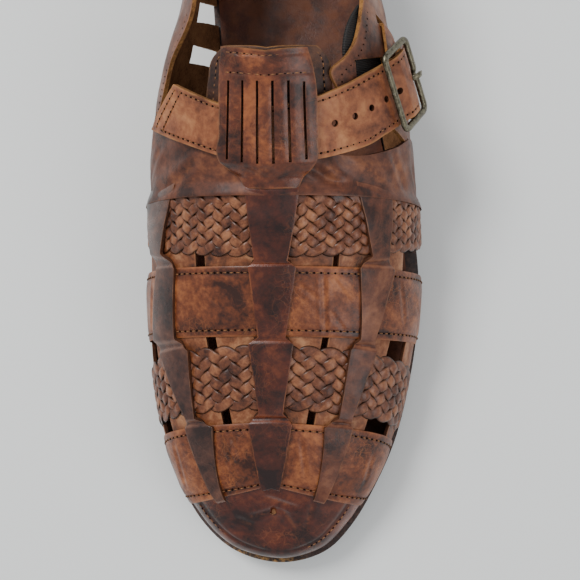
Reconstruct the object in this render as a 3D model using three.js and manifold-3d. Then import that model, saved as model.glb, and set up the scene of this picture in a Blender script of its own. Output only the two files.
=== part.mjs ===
// Fisherman sandal, left foot, standing empty on its sole.
// Millimetres, +Z up, toe towards -Y, buckle side towards +X.
// The origin is the centre of the heel's flat underside.

import * as THREE from 'three';
import { mergeVertices } from 'three/addons/utils/BufferGeometryUtils.js';
import Module from 'manifold-3d';

const wasm = await Module();
wasm.setup();

// Driving dimensions: the last
const LAST_LENGTH = 282;
const BALL_WIDTH = 100;
const INSTEP_RISE = 75.5;
const TOE_SPRING = 4.5;
const HEEL_RISE = 15;
const HEEL_BACK = 34;

// Driving dimensions: the sole
const MIDSOLE_THICKNESS = 3.4;
const OUTSOLE_THICKNESS = 4.2;
const INSOLE_THICKNESS = 2.4;
const INSOLE_INSET = 0.8;
const WELT_MARGIN = 4.4;
const OUTSOLE_MARGIN = 3.4;
const OUTSOLE_DRAFT = 0.6;
const WAIST_TRIM = 2.6;
const HEEL_TAPER = 1.6;
const TREAD_WEAR = 0.35;

// Driving dimensions: the leather
const STRAP_WALL = 1.5;
const PANEL_WALL = 1.9;
const CAP_WALL = 2.0;
const BAND_WALL = 2.0;
const OVERLAY_WALL = 1.7;
const FLAP_WALL = 1.7;
const ANKLE_WALL = 2.0;
const TONGUE_WALL = 1.9;
const TAB_WALL = 1.0;
const ELASTIC_WALL = 1.3;
const BRAID_RELIEF = 0.5;
const JOIN_DEPTH = 0.4;
const FIT_GAP = 0.3;
const SEAT_GAP = 0.45;

// Driving dimensions: strap, holes and buckle. The buckle's length follows from the strap's width.
const STRAP_WIDTH = 23;
const STRAP_CLEARANCE = 1.15;
const HOLE_DIAMETER = 2.4;
const HOLE_PITCH = 7.9;
const SLIT_WIDTH = 0.8;
const BUCKLE_WIDTH = 21.5;
const BUCKLE_WIRE = 2.6;
const BUCKLE_LENGTH = STRAP_WIDTH + 2 * (STRAP_CLEARANCE + BUCKLE_WIRE);
const BUCKLE_CORNER = 3.7;
const CENTRE_BAR = 1.6;
const CENTRE_DROP = 2.7;
const PRONG_WIDTH = 2.2;
const PRONG_THICKNESS = 1.2;
const PRONG_PLAY = 0.6;
const TAB_WIDTH = 17;

// Tables of the last
// One row per section, u from the toe tip (0) to the heel's back (1). Along and ridge are shares of
// LAST_LENGTH, medial, lateral and offset of BALL_WIDTH, spring of TOE_SPRING, rise of HEEL_RISE and
// height of INSTEP_RISE. Fullness and the two leans shape the profile from the feather to the ridge.
const SECTIONS = table(
  'u     along  medial lateral spring rise  ridge  offset  height fullness leanMedial leanLateral',
  [
    [0.00, 0.000, 0.000, 0.000, 1.00, 0.00, 0.068, -0.020, 0.212, 0.62, 0.12, 0.12],
    [0.04, 0.013, 0.158, 0.148, 0.93, 0.00, 0.075, -0.020, 0.236, 0.62, 0.14, 0.12],
    [0.08, 0.046, 0.275, 0.245, 0.73, 0.00, 0.090, -0.020, 0.287, 0.62, 0.16, 0.12],
    [0.12, 0.092, 0.360, 0.325, 0.47, 0.00, 0.112, -0.020, 0.350, 0.62, 0.18, 0.13],
    [0.18, 0.158, 0.430, 0.410, 0.18, 0.00, 0.165, -0.020, 0.446, 0.62, 0.18, 0.14],
    [0.26, 0.240, 0.475, 0.470, 0.00, 0.00, 0.243, -0.020, 0.550, 0.62, 0.17, 0.15],
    [0.34, 0.325, 0.485, 0.505, 0.00, 0.00, 0.325, -0.020, 0.656, 0.62, 0.20, 0.16],
    [0.43, 0.415, 0.455, 0.505, 0.00, 0.08, 0.412, -0.020, 0.772, 0.60, 0.28, 0.18],
    [0.52, 0.505, 0.395, 0.460, 0.00, 0.27, 0.497, -0.020, 0.881, 0.58, 0.43, 0.28],
    [0.62, 0.605, 0.315, 0.395, 0.00, 0.53, 0.590, -0.015, 1.000, 0.56, 0.51, 0.34],
    [0.72, 0.710, 0.270, 0.350, 0.00, 0.77, 0.680, -0.005, 1.113, 0.55, 0.34, 0.21],
    [0.82, 0.825, 0.285, 0.325, 0.00, 0.93, 0.760,  0.000, 1.185, 0.55, 0.12, 0.07],
    [0.91, 0.935, 0.255, 0.270, 0.00, 1.00, 0.815,  0.000, 1.225, 0.55, 0.05, 0.05],
    [0.96, 0.984, 0.155, 0.155, 0.00, 1.00, 0.835,  0.000, 1.238, 0.55, 0.06, 0.06],
    [1.00, 1.000, 0.000, 0.000, 0.00, 1.00, 0.845,  0.000, 1.238, 0.55, 0.08, 0.08],
  ],
);

// Places on the last are given by u and by v: -1 and 1 are the medial and lateral feather edge,
// and 0 is the ridge over the foot. A lift is a height over the last along its normal.

// The four bands that cross the vamp, heel edge and toe edge at the ridge and at the side.
const BANDS = table('heel toe heelSide toeSide braided', [
  [0.487, 0.404, 0.500, 0.426, 1],
  [0.396, 0.308, 0.398, 0.308, 0],
  [0.300, 0.212, 0.284, 0.198, 1],
  [0.198, 0.102, 0.186, 0.102, 0],
]);

// The three slit straps that run along the vamp: the edges of the sheet under the bands.
const STRAP_SHEETS = {
  centre: table('u left right', [
    [0.505, -0.300, 0.260], [0.400, -0.280, 0.245], [0.304, -0.235, 0.205],
    [0.205, -0.190, 0.165], [0.096, -0.150, 0.140],
  ]),
  medial: table('u left right', [
    [0.505, -0.700, -0.340], [0.400, -0.680, -0.325], [0.304, -0.650, -0.280],
    [0.205, -0.620, -0.235], [0.096, -0.560, -0.200],
  ]),
  lateral: table('u left right', [
    [0.505, 0.280, 0.600], [0.400, 0.265, 0.595], [0.304, 0.230, 0.545],
    [0.205, 0.200, 0.495], [0.096, 0.180, 0.450],
  ]),
  medialSide: table('u left right', [
    [0.350, -0.960, -0.830], [0.304, -0.980, -0.820], [0.205, -1.000, -0.760], [0.096, -1.000, -0.760],
  ]),
  lateralSide: table('u left right', [
    [0.350, 0.720, 0.900], [0.304, 0.680, 0.900], [0.205, 0.705, 0.940], [0.096, 0.760, 1.000],
  ]),
};

// Their middle parts pass over the bands: edges at each band's heel side and toe side.
const OVERLAYS = [
  table('heelLeft heelRight toeLeft toeRight', [
    [-0.095, 0.120, -0.055, 0.070], [-0.080, 0.100, -0.045, 0.060],
    [-0.085, 0.090, -0.050, 0.055], [-0.100, 0.095, -0.065, 0.055],
  ]),
  table('heelLeft heelRight toeLeft toeRight', [
    [-0.680, -0.440, -0.610, -0.515], [-0.555, -0.425, -0.615, -0.445],
    [-0.570, -0.370, -0.440, -0.380], [-0.455, -0.280, -0.410, -0.335],
  ]),
  table('heelLeft heelRight toeLeft toeRight', [
    [0.350, 0.510, 0.400, 0.485], [0.345, 0.515, 0.365, 0.435],
    [0.325, 0.455, 0.310, 0.380], [0.245, 0.395, 0.290, 0.375],
  ]),
];

// The smooth panel behind the bands, from band to throat line.
const VAMP_PANEL = table('v toe heel', [
  [-1.00, 0.488, 0.566], [-0.80, 0.482, 0.576], [-0.68, 0.478, 0.582], [-0.475, 0.474, 0.572],
  [-0.20, 0.472, 0.548], [0.00, 0.472, 0.540], [0.20, 0.472, 0.534], [0.38, 0.474, 0.534],
  [0.56, 0.478, 0.552], [0.71, 0.484, 0.572], [0.80, 0.486, 0.566], [1.00, 0.488, 0.556],
]);

// The slit flap over the ankle strap, from its root on the centre strap to its free end.
const FLAP = table('u left right lift', [
  [0.492, -0.095, 0.115, 0.0], [0.505, -0.115, 0.125, 0.0], [0.514, -0.150, 0.150, 0.5],
  [0.524, -0.185, 0.175, 1.0], [0.560, -0.192, 0.183, 1.0], [0.600, -0.180, 0.175, 1.0],
  [0.635, -0.165, 0.165, 1.0], [0.655, -0.150, 0.155, 1.0],
]);
const FLAP_SLITS = table('v from to', [
  [-0.140, 0.566, 0.618], [-0.090, 0.546, 0.620], [-0.037, 0.544, 0.621],
  [0.015, 0.544, 0.621], [0.070, 0.546, 0.620], [0.122, 0.550, 0.618],
]);

const TONGUE = table('u left right', [
  [0.478, -0.200, 0.200], [0.520, -0.255, 0.240], [0.580, -0.300, 0.280], [0.620, -0.300, 0.285],
  [0.645, -0.285, 0.275], [0.656, -0.240, 0.235],
]);

// The quarters meet at the heel's back. Front is where they start, at the feather and at the collar.
const QUARTER_FRONT = {
  medial: { feather: 0.535, collar: 0.594 },
  lateral: { feather: 0.520, collar: 0.606 },
};
const COLLAR = {
  medial: table('u v', [
    [0.594, 0.585], [0.630, 0.545], [0.653, 0.520], [0.673, 0.475], [0.700, 0.440], [0.730, 0.450],
    [0.780, 0.520], [0.850, 0.565], [0.920, 0.530], [1.000, 0.440],
  ]),
  lateral: table('u v', [
    [0.606, 0.300], [0.622, 0.285], [0.654, 0.340], [0.679, 0.410], [0.718, 0.480], [0.780, 0.540],
    [0.850, 0.565], [0.920, 0.530], [1.000, 0.440],
  ]),
};
// The windows and the stay lean: lean is how far u has run on at toV, which keeps their sides upright.
const QUARTER_WINDOWS = table('fromU toU fromV toV lean', [
  [0.687, 0.710, -0.86, -1.03, 0.024], [0.738, 0.764, -0.86, -1.03, 0.032],
  [0.618, 0.644, 0.38, 0.55, 0.014],
]);
const TAB_SLOT = { from: { u: 0.703, v: 0.560 }, to: { u: 0.698, v: 0.720 }, width: 2.6 };
const BRAIDED_STAY = { fromU: 0.795, toU: 0.832, fromV: -1, toV: -0.66, lean: -0.065 };

// The ankle strap, sewn to the medial quarter, under the flap and through the buckle.
// Its heel-side and toe-side edges, and its lift over the panel as a share of BUCKLE_RISE.
const ANKLE_STRAP = table('heelU heelV toeU toeV rise', [
  [0.618, -0.430, 0.574, -0.575, 0.00], [0.605, -0.330, 0.555, -0.420, 0.00],
  [0.592, -0.215, 0.534, -0.230, 0.00], [0.589, -0.110, 0.526, -0.115, 0.00],
  [0.589, 0.000, 0.523, 0.000, 0.00], [0.593, 0.110, 0.524, 0.110, 0.00],
  [0.601, 0.215, 0.530, 0.230, 0.00], [0.617, 0.330, 0.546, 0.380, 0.02],
  [0.629, 0.400, 0.562, 0.465, 0.06], [0.640, 0.467, 0.577, 0.542, 0.12],
  [0.645, 0.492, 0.583, 0.566, 0.40], [0.652, 0.525, 0.5905, 0.600, 0.98],
  [0.660, 0.562, 0.5995, 0.637, 1.04], [0.6635, 0.579, 0.6035, 0.653, 0.98],
  [0.6685, 0.601, 0.609, 0.675, 0.42], [0.676, 0.636, 0.618, 0.710, 0.38],
  [0.686, 0.690, 0.630, 0.760, 0.36], [0.694, 0.745, 0.648, 0.800, 0.25],
  [0.688, 0.800, 0.668, 0.820, 0.15],
]);
const BUCKLE_RISE = 3.7;

// The row of the strap that lies in the buckle, and the buckle's place and angles there.
const BUCKLE_ROW = 12;
const BUCKLE_PLACE = { u: 0.626, v: 0.580, lift: 6.4 };
const BUCKLE_ANGLES = new THREE.Euler(0, -0.063, 0.645, 'ZYX');

// The prong's arm: under the strap, up through its hole and over the far bar. Where it climbs, its
// lower side lies further on, by a share of its thickness, so that it stays as thick.
const PRONG_ARM = table('x z shift', [
  [1.2, -2.4, 0], [4.2, -2.4, 0.8], [5.1, -1.6, 0.8], [5.7, 1.2, 0.8], [6.8, 2.3, 0.8], [10.6, 2.3, 0],
]);
const PRONG_HOLE = { x: 5.5 };

// The buckle's own leather tab, from the centre bar back into the slot.
const BUCKLE_TAB = table('heelU heelV toeU toeV', [
  [0.648, 0.545, 0.608, 0.598], [0.668, 0.562, 0.630, 0.640], [0.690, 0.578, 0.672, 0.690],
  [0.7005, 0.584, 0.6985, 0.695],
]);
const ELASTIC = table('u left right', [
  [0.624, 0.360, 0.560], [0.660, 0.360, 0.640], [0.700, 0.440, 0.740], [0.716, 0.500, 0.740],
]);

// Where the heel starts, where the toe cap ends, and how far a strap slopes at a band's edge.
const HEEL_FRONT = { u: 0.752 };
const CAP_EDGE = { u: 0.112 };
const OVER_LAND = { u: 0.009 };

// Tables and curves
function table(columns, rows) {
  const names = columns.trim().split(/\s+/);
  return rows.map((row) => Object.fromEntries(names.map((name, i) => [name, row[i]])));
}

// Reads a table at a share of its length, straight between its rows.
function reader(rows, s) {
  const last = rows.length - 1;
  const i = Math.min(Math.floor(s * last), last - 1);
  return (key) => THREE.MathUtils.lerp(rows[i][key], rows[i + 1][key], s * last - i);
}

// Straight interpolation of one column over another.
function along(rows, key, over, x) {
  const sign = rows.at(-1)[over] > rows[0][over] ? 1 : -1;
  let i = 0;
  while (i < rows.length - 2 && sign * x > sign * rows[i + 1][over]) i += 1;
  const a = rows[i];
  const b = rows[i + 1];
  const share = THREE.MathUtils.clamp((x - a[over]) / (b[over] - a[over]), 0, 1);
  return THREE.MathUtils.lerp(a[key], b[key], share);
}

// Cubic curve through one column of the sections, carried past both ends as a mirror image.
function column(key, sign = 1) {
  const xs = SECTIONS.map((row) => row.u);
  const ys = SECTIONS.map((row) => row[key]);
  const wideX = [-xs[1], ...xs, 2 - xs.at(-2)];
  const wideY = [sign * ys[1], ...ys, sign * ys.at(-2)];
  const slopes = xs.map((_, i) => (wideY[i + 2] - wideY[i]) / (wideX[i + 2] - wideX[i]));
  return (u) => {
    let i = 0;
    while (i < xs.length - 2 && u >= xs[i + 1]) i += 1;
    const h = xs[i + 1] - xs[i];
    const t = (THREE.MathUtils.clamp(u, 0, 1) - xs[i]) / h;
    return (2 * t ** 3 - 3 * t ** 2 + 1) * ys[i] + (t ** 3 - 2 * t ** 2 + t) * h * slopes[i]
      + (3 * t ** 2 - 2 * t ** 3) * ys[i + 1] + (t ** 3 - t ** 2) * h * slopes[i + 1];
  };
}

const section = {
  along: column('along'),
  medial: column('medial', -1),
  lateral: column('lateral', -1),
  spring: column('spring'),
  rise: column('rise'),
  ridge: column('ridge'),
  offset: column('offset'),
  height: column('height'),
  fullness: column('fullness'),
  leanMedial: column('leanMedial'),
  leanLateral: column('leanLateral'),
};

// The last
const SOLE_STACK = MIDSOLE_THICKNESS + OUTSOLE_THICKNESS + 3 * FIT_GAP;
const axisY = (share) => HEEL_BACK - LAST_LENGTH * (1 - share);
const featherZ = (u) => SOLE_STACK + TOE_SPRING * section.spring(u) + HEEL_RISE * section.rise(u);
const ridgeY = (u) => axisY(section.ridge(u));
const ridgeZ = (u) => featherZ(u) + INSTEP_RISE * section.height(u);

// A point of the last. Past the toe tip or the heel's back it runs on down the other side.
function lastPoint(u, v) {
  if (u < 0) return lastPoint(-u, -v);
  if (u > 1) return lastPoint(2 - u, -v);
  const medial = v < 0;
  const half = BALL_WIDTH * (medial ? -section.medial(u) : section.lateral(u));
  const lean = medial ? section.leanMedial(u) : section.leanLateral(u);
  const fullness = section.fullness(u);
  const foot = new THREE.Vector3(half, axisY(section.along(u)), featherZ(u));
  const top = new THREE.Vector3(BALL_WIDTH * section.offset(u), ridgeY(u), ridgeZ(u));
  const rise = top.z - foot.z;
  const out = new THREE.Vector3(foot.x - top.x, foot.y - top.y, 0);
  const step = 1e-3;
  const a = Math.max(u - step, 0);
  const b = Math.min(u + step, 1);
  const slope = (ridgeZ(b) - ridgeZ(a)) / Math.max(ridgeY(b) - ridgeY(a), 1e-6);
  const footPull = out.clone().setLength(lean * rise).add(foot);
  footPull.z += fullness * rise;
  const topPull = out.clone().multiplyScalar(fullness).add(top);
  topPull.z += out.y * fullness * slope;
  return new THREE.CubicBezierCurve3(foot, footPull, topPull, top).getPoint(1 - Math.abs(v));
}

// Within this share of the feather edge a wall's edge turns level, to sit on the sole.
const FEATHER_TURN = 0.05;

function lastNormal(u, v) {
  const step = 2e-3;
  const inner = THREE.MathUtils.clamp(v, step - 1, 1 - step);
  const alongU = lastPoint(u + step, inner).sub(lastPoint(u - step, inner));
  const alongV = lastPoint(u, inner + step).sub(lastPoint(u, inner - step));
  const normal = alongV.cross(alongU).normalize();
  if (normal.z < 0) normal.z *= Math.min(1, (1 - Math.abs(v)) / FEATHER_TURN);
  return normal.normalize();
}

const lifted = (u, v, lift) => lastPoint(u, v).addScaledVector(lastNormal(u, v), lift);

// Solids
function solid(points, triangles) {
  const geometry = new THREE.BufferGeometry().setFromPoints(points);
  geometry.setIndex(triangles.flat());
  return toManifold(geometry);
}

// Merges shared corners and turns the faces outwards.
function toManifold(geometry) {
  const bare = geometry.index ? geometry : mergeVertices(geometry);
  bare.deleteAttribute('normal');
  bare.deleteAttribute('uv');
  const merged = mergeVertices(bare, 1e-4);
  const position = merged.attributes.position;
  const index = Array.from(merged.index.array);
  const corner = (i) => new THREE.Vector3().fromBufferAttribute(position, i);
  const faces = [];
  let volume = 0;
  for (let i = 0; i < index.length; i += 3) {
    const [a, b, c] = index.slice(i, i + 3);
    if (a === b || b === c || c === a) continue;
    faces.push([a, b, c]);
    volume += corner(a).dot(corner(b).cross(corner(c)));
  }
  const turned = volume > 0 ? faces : faces.map(([a, b, c]) => [a, c, b]);
  return new wasm.Manifold(new wasm.Mesh({
    numProp: 3,
    vertProperties: new Float32Array(position.array),
    triVerts: new Uint32Array(turned.flat()),
  }));
}

// A closed sheet over a grid. at(s, t, i, j) gives { u, v, inner, outer }: a place on the last and the
// lifts of its two faces. A folded sheet's first row lies on itself, so it has no edge there.
function sheet(rows, columns, at, folded = false) {
  const points = [];
  const triangles = [];
  const layer = (rows + 1) * (columns + 1);
  const cells = [];
  for (let i = 0; i <= rows; i += 1) {
    for (let j = 0; j <= columns; j += 1) cells.push(at(i / rows, j / columns, i, j));
  }
  cells.forEach(({ u, v, inner }) => points.push(lifted(u, v, inner)));
  cells.forEach(({ u, v, outer }) => points.push(lifted(u, v, outer)));
  const corner = (i, j) => i * (columns + 1) + j;
  for (let i = 0; i < rows; i += 1) {
    for (let j = 0; j < columns; j += 1) {
      const [a, b, c, d] = [corner(i, j), corner(i + 1, j), corner(i + 1, j + 1), corner(i, j + 1)];
      const pair = (i + j) % 2 ? [[a, b, d], [b, c, d]] : [[a, b, c], [a, c, d]];
      pair.forEach(([p, q, r]) => triangles.push([p, q, r], [r + layer, q + layer, p + layer]));
    }
  }
  const wall = (p, q) => triangles.push([p, q, p + layer], [q, q + layer, p + layer]);
  for (let j = 0; j < columns; j += 1) {
    if (!folded) wall(corner(0, j), corner(0, j + 1));
    wall(corner(rows, j + 1), corner(rows, j));
  }
  for (let i = 0; i < rows; i += 1) {
    wall(corner(i + 1, 0), corner(i, 0));
    wall(corner(i, columns), corner(i + 1, columns));
  }
  return solid(points, triangles);
}

// A sheet between the left and right edges of a table of rows along u.
const FACET = 10;
function strip(rows, perRow, inner, outer) {
  const widths = rows.map(({ u, left, right }) => acrossOf(u, (left + right) / 2) * (right - left));
  const columns = Math.ceil(Math.max(...widths) / FACET);
  const steps = (rows.length - 1) * perRow;
  return sheet(steps, columns, (s, t) => {
    const value = reader(rows, s);
    return { u: value('u'), v: THREE.MathUtils.lerp(value('left'), value('right'), t), inner, outer };
  });
}

// A block through a quarter's wall, to cut a window or a slot.
const CUT_REACH = 4;
const CUT_DEPTH = { inner: -CUT_REACH, outer: STRAP_WALL + CUT_REACH };
function cutter({ fromU, toU, fromV, toV, lean }) {
  return sheet(2, 2, (s, t) => ({
    u: THREE.MathUtils.lerp(fromU, toU, s) + lean * t, v: THREE.MathUtils.lerp(fromV, toV, t), ...CUT_DEPTH,
  }));
}

const join = (solids) => solids.reduce((whole, next) => whole.add(next));
const cut = (whole, cutters) => cutters.reduce((rest, next) => rest.subtract(next), whole);

// Sole plates
const SOLE_STEPS = 28;
const END_CLUSTER = 0.8;
const stationAt = (t) => t - (END_CLUSTER * Math.sin(2 * Math.PI * t)) / (2 * Math.PI);

// The feather line in plan, moved outwards by a margin.
function outline(u, side, margin) {
  const step = 2e-3;
  const run = lastPoint(u + step, side).sub(lastPoint(u - step, side));
  const out = new THREE.Vector3(run.y * side, -run.x * side, 0).setLength(margin);
  return lastPoint(u, side).add(out);
}

// The rim is trimmed close along the inner waist, between the ball of the foot and the heel's back.
const WAIST = table('u share', [[0.50, 0], [0.62, 1], [0.86, 1], [0.98, 0]]);
const waistTrim = (u, side) => (side < 0 ? WAIST_TRIM * along(WAIST, 'share', 'u', u) : 0);

// A plate across the foot between two heights, from one station to the heel's back.
function plate({
  from = 0, steps = SOLE_STEPS, trimmed = true, topMargin, bottomMargin, top, bottom,
}) {
  const points = [];
  const triangles = [];
  for (let i = 0; i <= steps; i += 1) {
    const t = i / steps;
    const u = from ? from + (1 - from) * Math.sin((t * Math.PI) / 2) : stationAt(t);
    [[1, bottom, bottomMargin], [-1, bottom, bottomMargin], [-1, top, topMargin], [1, top, topMargin]]
      .forEach(([side, height, margin]) => {
        const point = outline(u, side, margin - (trimmed ? waistTrim(u, side) : 0));
        points.push(new THREE.Vector3(point.x, point.y, height(u)));
      });
  }
  for (let i = 0; i < steps; i += 1) {
    for (let k = 0; k < 4; k += 1) {
      const a = 4 * i + k;
      const b = 4 * i + ((k + 1) % 4);
      triangles.push([a, a + 4, b], [b, a + 4, b + 4]);
    }
  }
  const cap = (first) => [[first, first + 1, first + 2], [first, first + 2, first + 3]];
  const end = cap(4 * steps).map(([a, b, c]) => [a, c, b]);
  const ends = from ? [...cap(0), ...end] : [];
  return solid(points, [...triangles, ...ends]);
}

const midsoleTop = (u) => featherZ(u) - FIT_GAP;
const midsoleBottom = (u) => midsoleTop(u) - MIDSOLE_THICKNESS;
const outsoleTop = (u) => midsoleBottom(u) - FIT_GAP;
const outsoleBottom = (u) => Math.max(0, outsoleTop(u) - OUTSOLE_THICKNESS - TREAD_WEAR);

function buildOutsole() {
  return plate({
    topMargin: OUTSOLE_MARGIN,
    bottomMargin: OUTSOLE_MARGIN - OUTSOLE_DRAFT,
    top: outsoleTop,
    bottom: outsoleBottom,
  });
}

function buildMidsole() {
  return plate({
    topMargin: WELT_MARGIN, bottomMargin: WELT_MARGIN, top: midsoleTop, bottom: midsoleBottom,
  });
}

function buildHeel() {
  return plate({
    from: HEEL_FRONT.u,
    steps: SOLE_STEPS / 2,
    topMargin: OUTSOLE_MARGIN,
    bottomMargin: OUTSOLE_MARGIN - HEEL_TAPER,
    top: (u) => outsoleBottom(u) - FIT_GAP,
    bottom: () => 0,
  });
}

function buildInsole() {
  return plate({
    trimmed: false,
    topMargin: -INSOLE_INSET,
    bottomMargin: -INSOLE_INSET,
    top: (u) => featherZ(u) + INSOLE_THICKNESS,
    bottom: featherZ,
  });
}

// The upper
const BAND_LIFT = STRAP_WALL - JOIN_DEPTH;
const BAND_TOP = BAND_LIFT + BAND_WALL;
const OVER_LIFT = BAND_TOP - JOIN_DEPTH;
const OVER_TOP = OVER_LIFT + OVERLAY_WALL;
const OVER_ROOT = STRAP_WALL / 2;
const OVER_LOW = STRAP_WALL + OVERLAY_WALL / 2;
const BRAID_ROWS = 6;
const BRAID_COLUMNS = 26;
const BAND_ROWS = 2;
const BAND_COLUMNS = 20;

// The bands fan out towards the sides, up to a limit. Their side edges are given at this v.
const SIDE_PLACE = { v: 0.7 };
const FAN_LIMIT = { share: 1.6 };
function bandEdge(ridge, side, v) {
  return ridge + (side - ridge) * Math.min(FAN_LIMIT.share, (v / SIDE_PLACE.v) ** 2);
}

function buildBand(band) {
  const rows = band.braided ? BRAID_ROWS : BAND_ROWS;
  const columns = band.braided ? BRAID_COLUMNS : BAND_COLUMNS;
  return sheet(rows, columns, (s, t, i, j) => {
    const v = THREE.MathUtils.lerp(-1, 1, t);
    const toe = bandEdge(band.toe, band.toeSide, v);
    const heel = bandEdge(band.heel, band.heelSide, v);
    const raised = band.braided && (i + j) % 2 ? BRAID_RELIEF : 0;
    return {
      u: THREE.MathUtils.lerp(toe, heel, s),
      v,
      inner: BAND_LIFT,
      outer: BAND_TOP + raised - (band.braided ? BRAID_RELIEF / 2 : 0),
    };
  });
}

// One strap's middle part, over the four bands and down between them.
function buildOverlay(edges) {
  const slope = OVER_LAND.u / 2;
  const rows = [];
  const land = (row, up) => rows.push({ ...row, up });
  BANDS.forEach((band, i) => {
    const edge = edges[i];
    const middle = (edge.heelLeft + edge.heelRight) / 2;
    const heelAt = bandEdge(band.heel, band.heelSide, middle);
    const toeAt = bandEdge(band.toe, band.toeSide, middle);
    const heel = { left: edge.heelLeft, right: edge.heelRight };
    const toe = { left: edge.toeLeft, right: edge.toeRight };
    land({ u: heelAt + slope, ...heel }, false);
    land({ u: heelAt - slope, ...heel }, true);
    land({ u: toeAt + slope, ...toe }, true);
    land({ u: toeAt - slope / 2, ...toe }, false);
  });
  return sheet(rows.length - 1, 2, (s, t, i) => {
    const { u, left, right, up } = rows[i];
    const outer = up ? OVER_TOP : OVER_LOW;
    return { u, v: THREE.MathUtils.lerp(left, right, t), inner: OVER_ROOT, outer };
  });
}

const CAP_ROWS = 5;
const CAP_COLUMNS = 20;
function buildCap() {
  return sheet(CAP_ROWS, CAP_COLUMNS, (s, t) => ({
    u: CAP_EDGE.u * s, v: THREE.MathUtils.lerp(-1, 1, t), inner: JOIN_DEPTH, outer: CAP_WALL,
  }), true);
}

function buildVampPanel() {
  return sheet(BAND_ROWS, BAND_COLUMNS, (s, t) => {
    const v = THREE.MathUtils.lerp(-1, 1, t);
    const toe = along(VAMP_PANEL, 'toe', 'v', v);
    const heel = along(VAMP_PANEL, 'heel', 'v', v);
    return { u: THREE.MathUtils.lerp(toe, heel, s), v, inner: JOIN_DEPTH, outer: PANEL_WALL };
  });
}

// Both quarters as one wall round the heel, from the feather to the collar.
function quarterPlace(s, t) {
  const side = s < 0.5 ? 'medial' : 'lateral';
  const round = Math.abs(2 * s - 1);
  const front = QUARTER_FRONT[side];
  const u = THREE.MathUtils.lerp(1, THREE.MathUtils.lerp(front.feather, front.collar, t), round);
  const collarU = THREE.MathUtils.lerp(1, front.collar, round);
  const top = 1 - along(COLLAR[side], 'v', 'u', collarU);
  return { u, v: (1 - t * top) * (side === 'medial' ? -1 : 1) };
}

const QUARTER_ROWS = 30;
const QUARTER_COLUMNS = 5;
function buildQuarters() {
  return sheet(QUARTER_ROWS, QUARTER_COLUMNS, (s, t) => (
    { ...quarterPlace(s, t), inner: 0, outer: STRAP_WALL }
  ));
}

// The braided stay on the medial quarter, between its second window and the heel.
const STAY_ROWS = 2;
const STAY_COLUMNS = 10;
function buildBraidedStay() {
  const stay = BRAIDED_STAY;
  return sheet(STAY_ROWS, STAY_COLUMNS, (s, t, i, j) => ({
    u: THREE.MathUtils.lerp(stay.fromU, stay.toU, s) + stay.lean * t,
    v: THREE.MathUtils.lerp(stay.fromV, stay.toV, t),
    inner: OVER_ROOT,
    outer: STRAP_WALL + ((i + j) % 2 ? 2 : 1) * BRAID_RELIEF,
  }));
}

const FLAP_ROOT = PANEL_WALL - JOIN_DEPTH;
const ANKLE_LIFT = PANEL_WALL + SEAT_GAP;
const FLAP_LIFT = ANKLE_LIFT + ANKLE_WALL + SEAT_GAP;
const FLAP_COLUMNS = 6;
function buildFlap() {
  const flap = sheet(FLAP.length - 1, FLAP_COLUMNS, (s, t) => {
    const value = reader(FLAP, s);
    const v = THREE.MathUtils.lerp(value('left'), value('right'), t);
    const inner = THREE.MathUtils.lerp(FLAP_ROOT, FLAP_LIFT, value('lift'));
    return { u: value('u'), v, inner, outer: inner + FLAP_WALL };
  });
  const slits = FLAP_SLITS.map(({ v, from, to }) => {
    const half = SLIT_WIDTH / 2 / acrossOf((from + to) / 2, v);
    return sheet(2, 1, (s, t) => ({
      u: THREE.MathUtils.lerp(from, to, s),
      v: v + half * (2 * t - 1),
      inner: FLAP_LIFT - FIT_GAP / 2,
      outer: FLAP_LIFT + 2 * FLAP_WALL,
    }));
  });
  return cut(flap, slits);
}

// Millimetres across the last for one unit of v, and along it for one unit of u.
function acrossOf(u, v) {
  const step = 5e-3;
  return lastPoint(u, v + step).distanceTo(lastPoint(u, v - step)) / (2 * step);
}
function lengthOf(u, v) {
  const step = 5e-3;
  return lastPoint(u + step, v).distanceTo(lastPoint(u - step, v)) / (2 * step);
}

function buildUpper() {
  const sheets = Object.entries(STRAP_SHEETS).map(([name, rows]) => (
    strip(rows, name.endsWith('Side') ? 3 : 2, 0, STRAP_WALL)
  ));
  const windows = QUARTER_WINDOWS.map(cutter);
  const half = TAB_SLOT.width / 2 / lengthOf(TAB_SLOT.from.u, TAB_SLOT.from.v);
  const slot = sheet(1, 4, (s, t) => ({
    u: THREE.MathUtils.lerp(TAB_SLOT.from.u, TAB_SLOT.to.u, t) + half * (2 * s - 1),
    v: THREE.MathUtils.lerp(TAB_SLOT.from.v, TAB_SLOT.to.v, t),
    ...CUT_DEPTH,
  }));
  const quarters = cut(buildQuarters(), [...windows, slot]);
  return join([
    quarters,
    buildVampPanel(),
    buildCap(),
    ...sheets,
    ...BANDS.map(buildBand),
    ...OVERLAYS.map(buildOverlay),
    buildBraidedStay(),
    buildFlap(),
  ]);
}

function buildTongue() {
  return strip(TONGUE, 1, -FIT_GAP - TONGUE_WALL, -FIT_GAP);
}

// The buckle's own frame of reference: x towards its far side, y along its bars.
function buckleMatrix() {
  const { u, v, lift } = BUCKLE_PLACE;
  const step = 2e-3;
  const normal = lastNormal(u, v);
  const across = lastPoint(u, v + step).sub(lastPoint(u, v - step));
  across.addScaledVector(normal, -across.dot(normal)).normalize();
  const up = normal.clone().cross(across);
  const matrix = new THREE.Matrix4().makeBasis(across, up, normal);
  matrix.multiply(new THREE.Matrix4().makeRotationFromEuler(BUCKLE_ANGLES));
  return matrix.setPosition(lifted(u, v, lift));
}
const BUCKLE_MATRIX = buckleMatrix();

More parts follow.
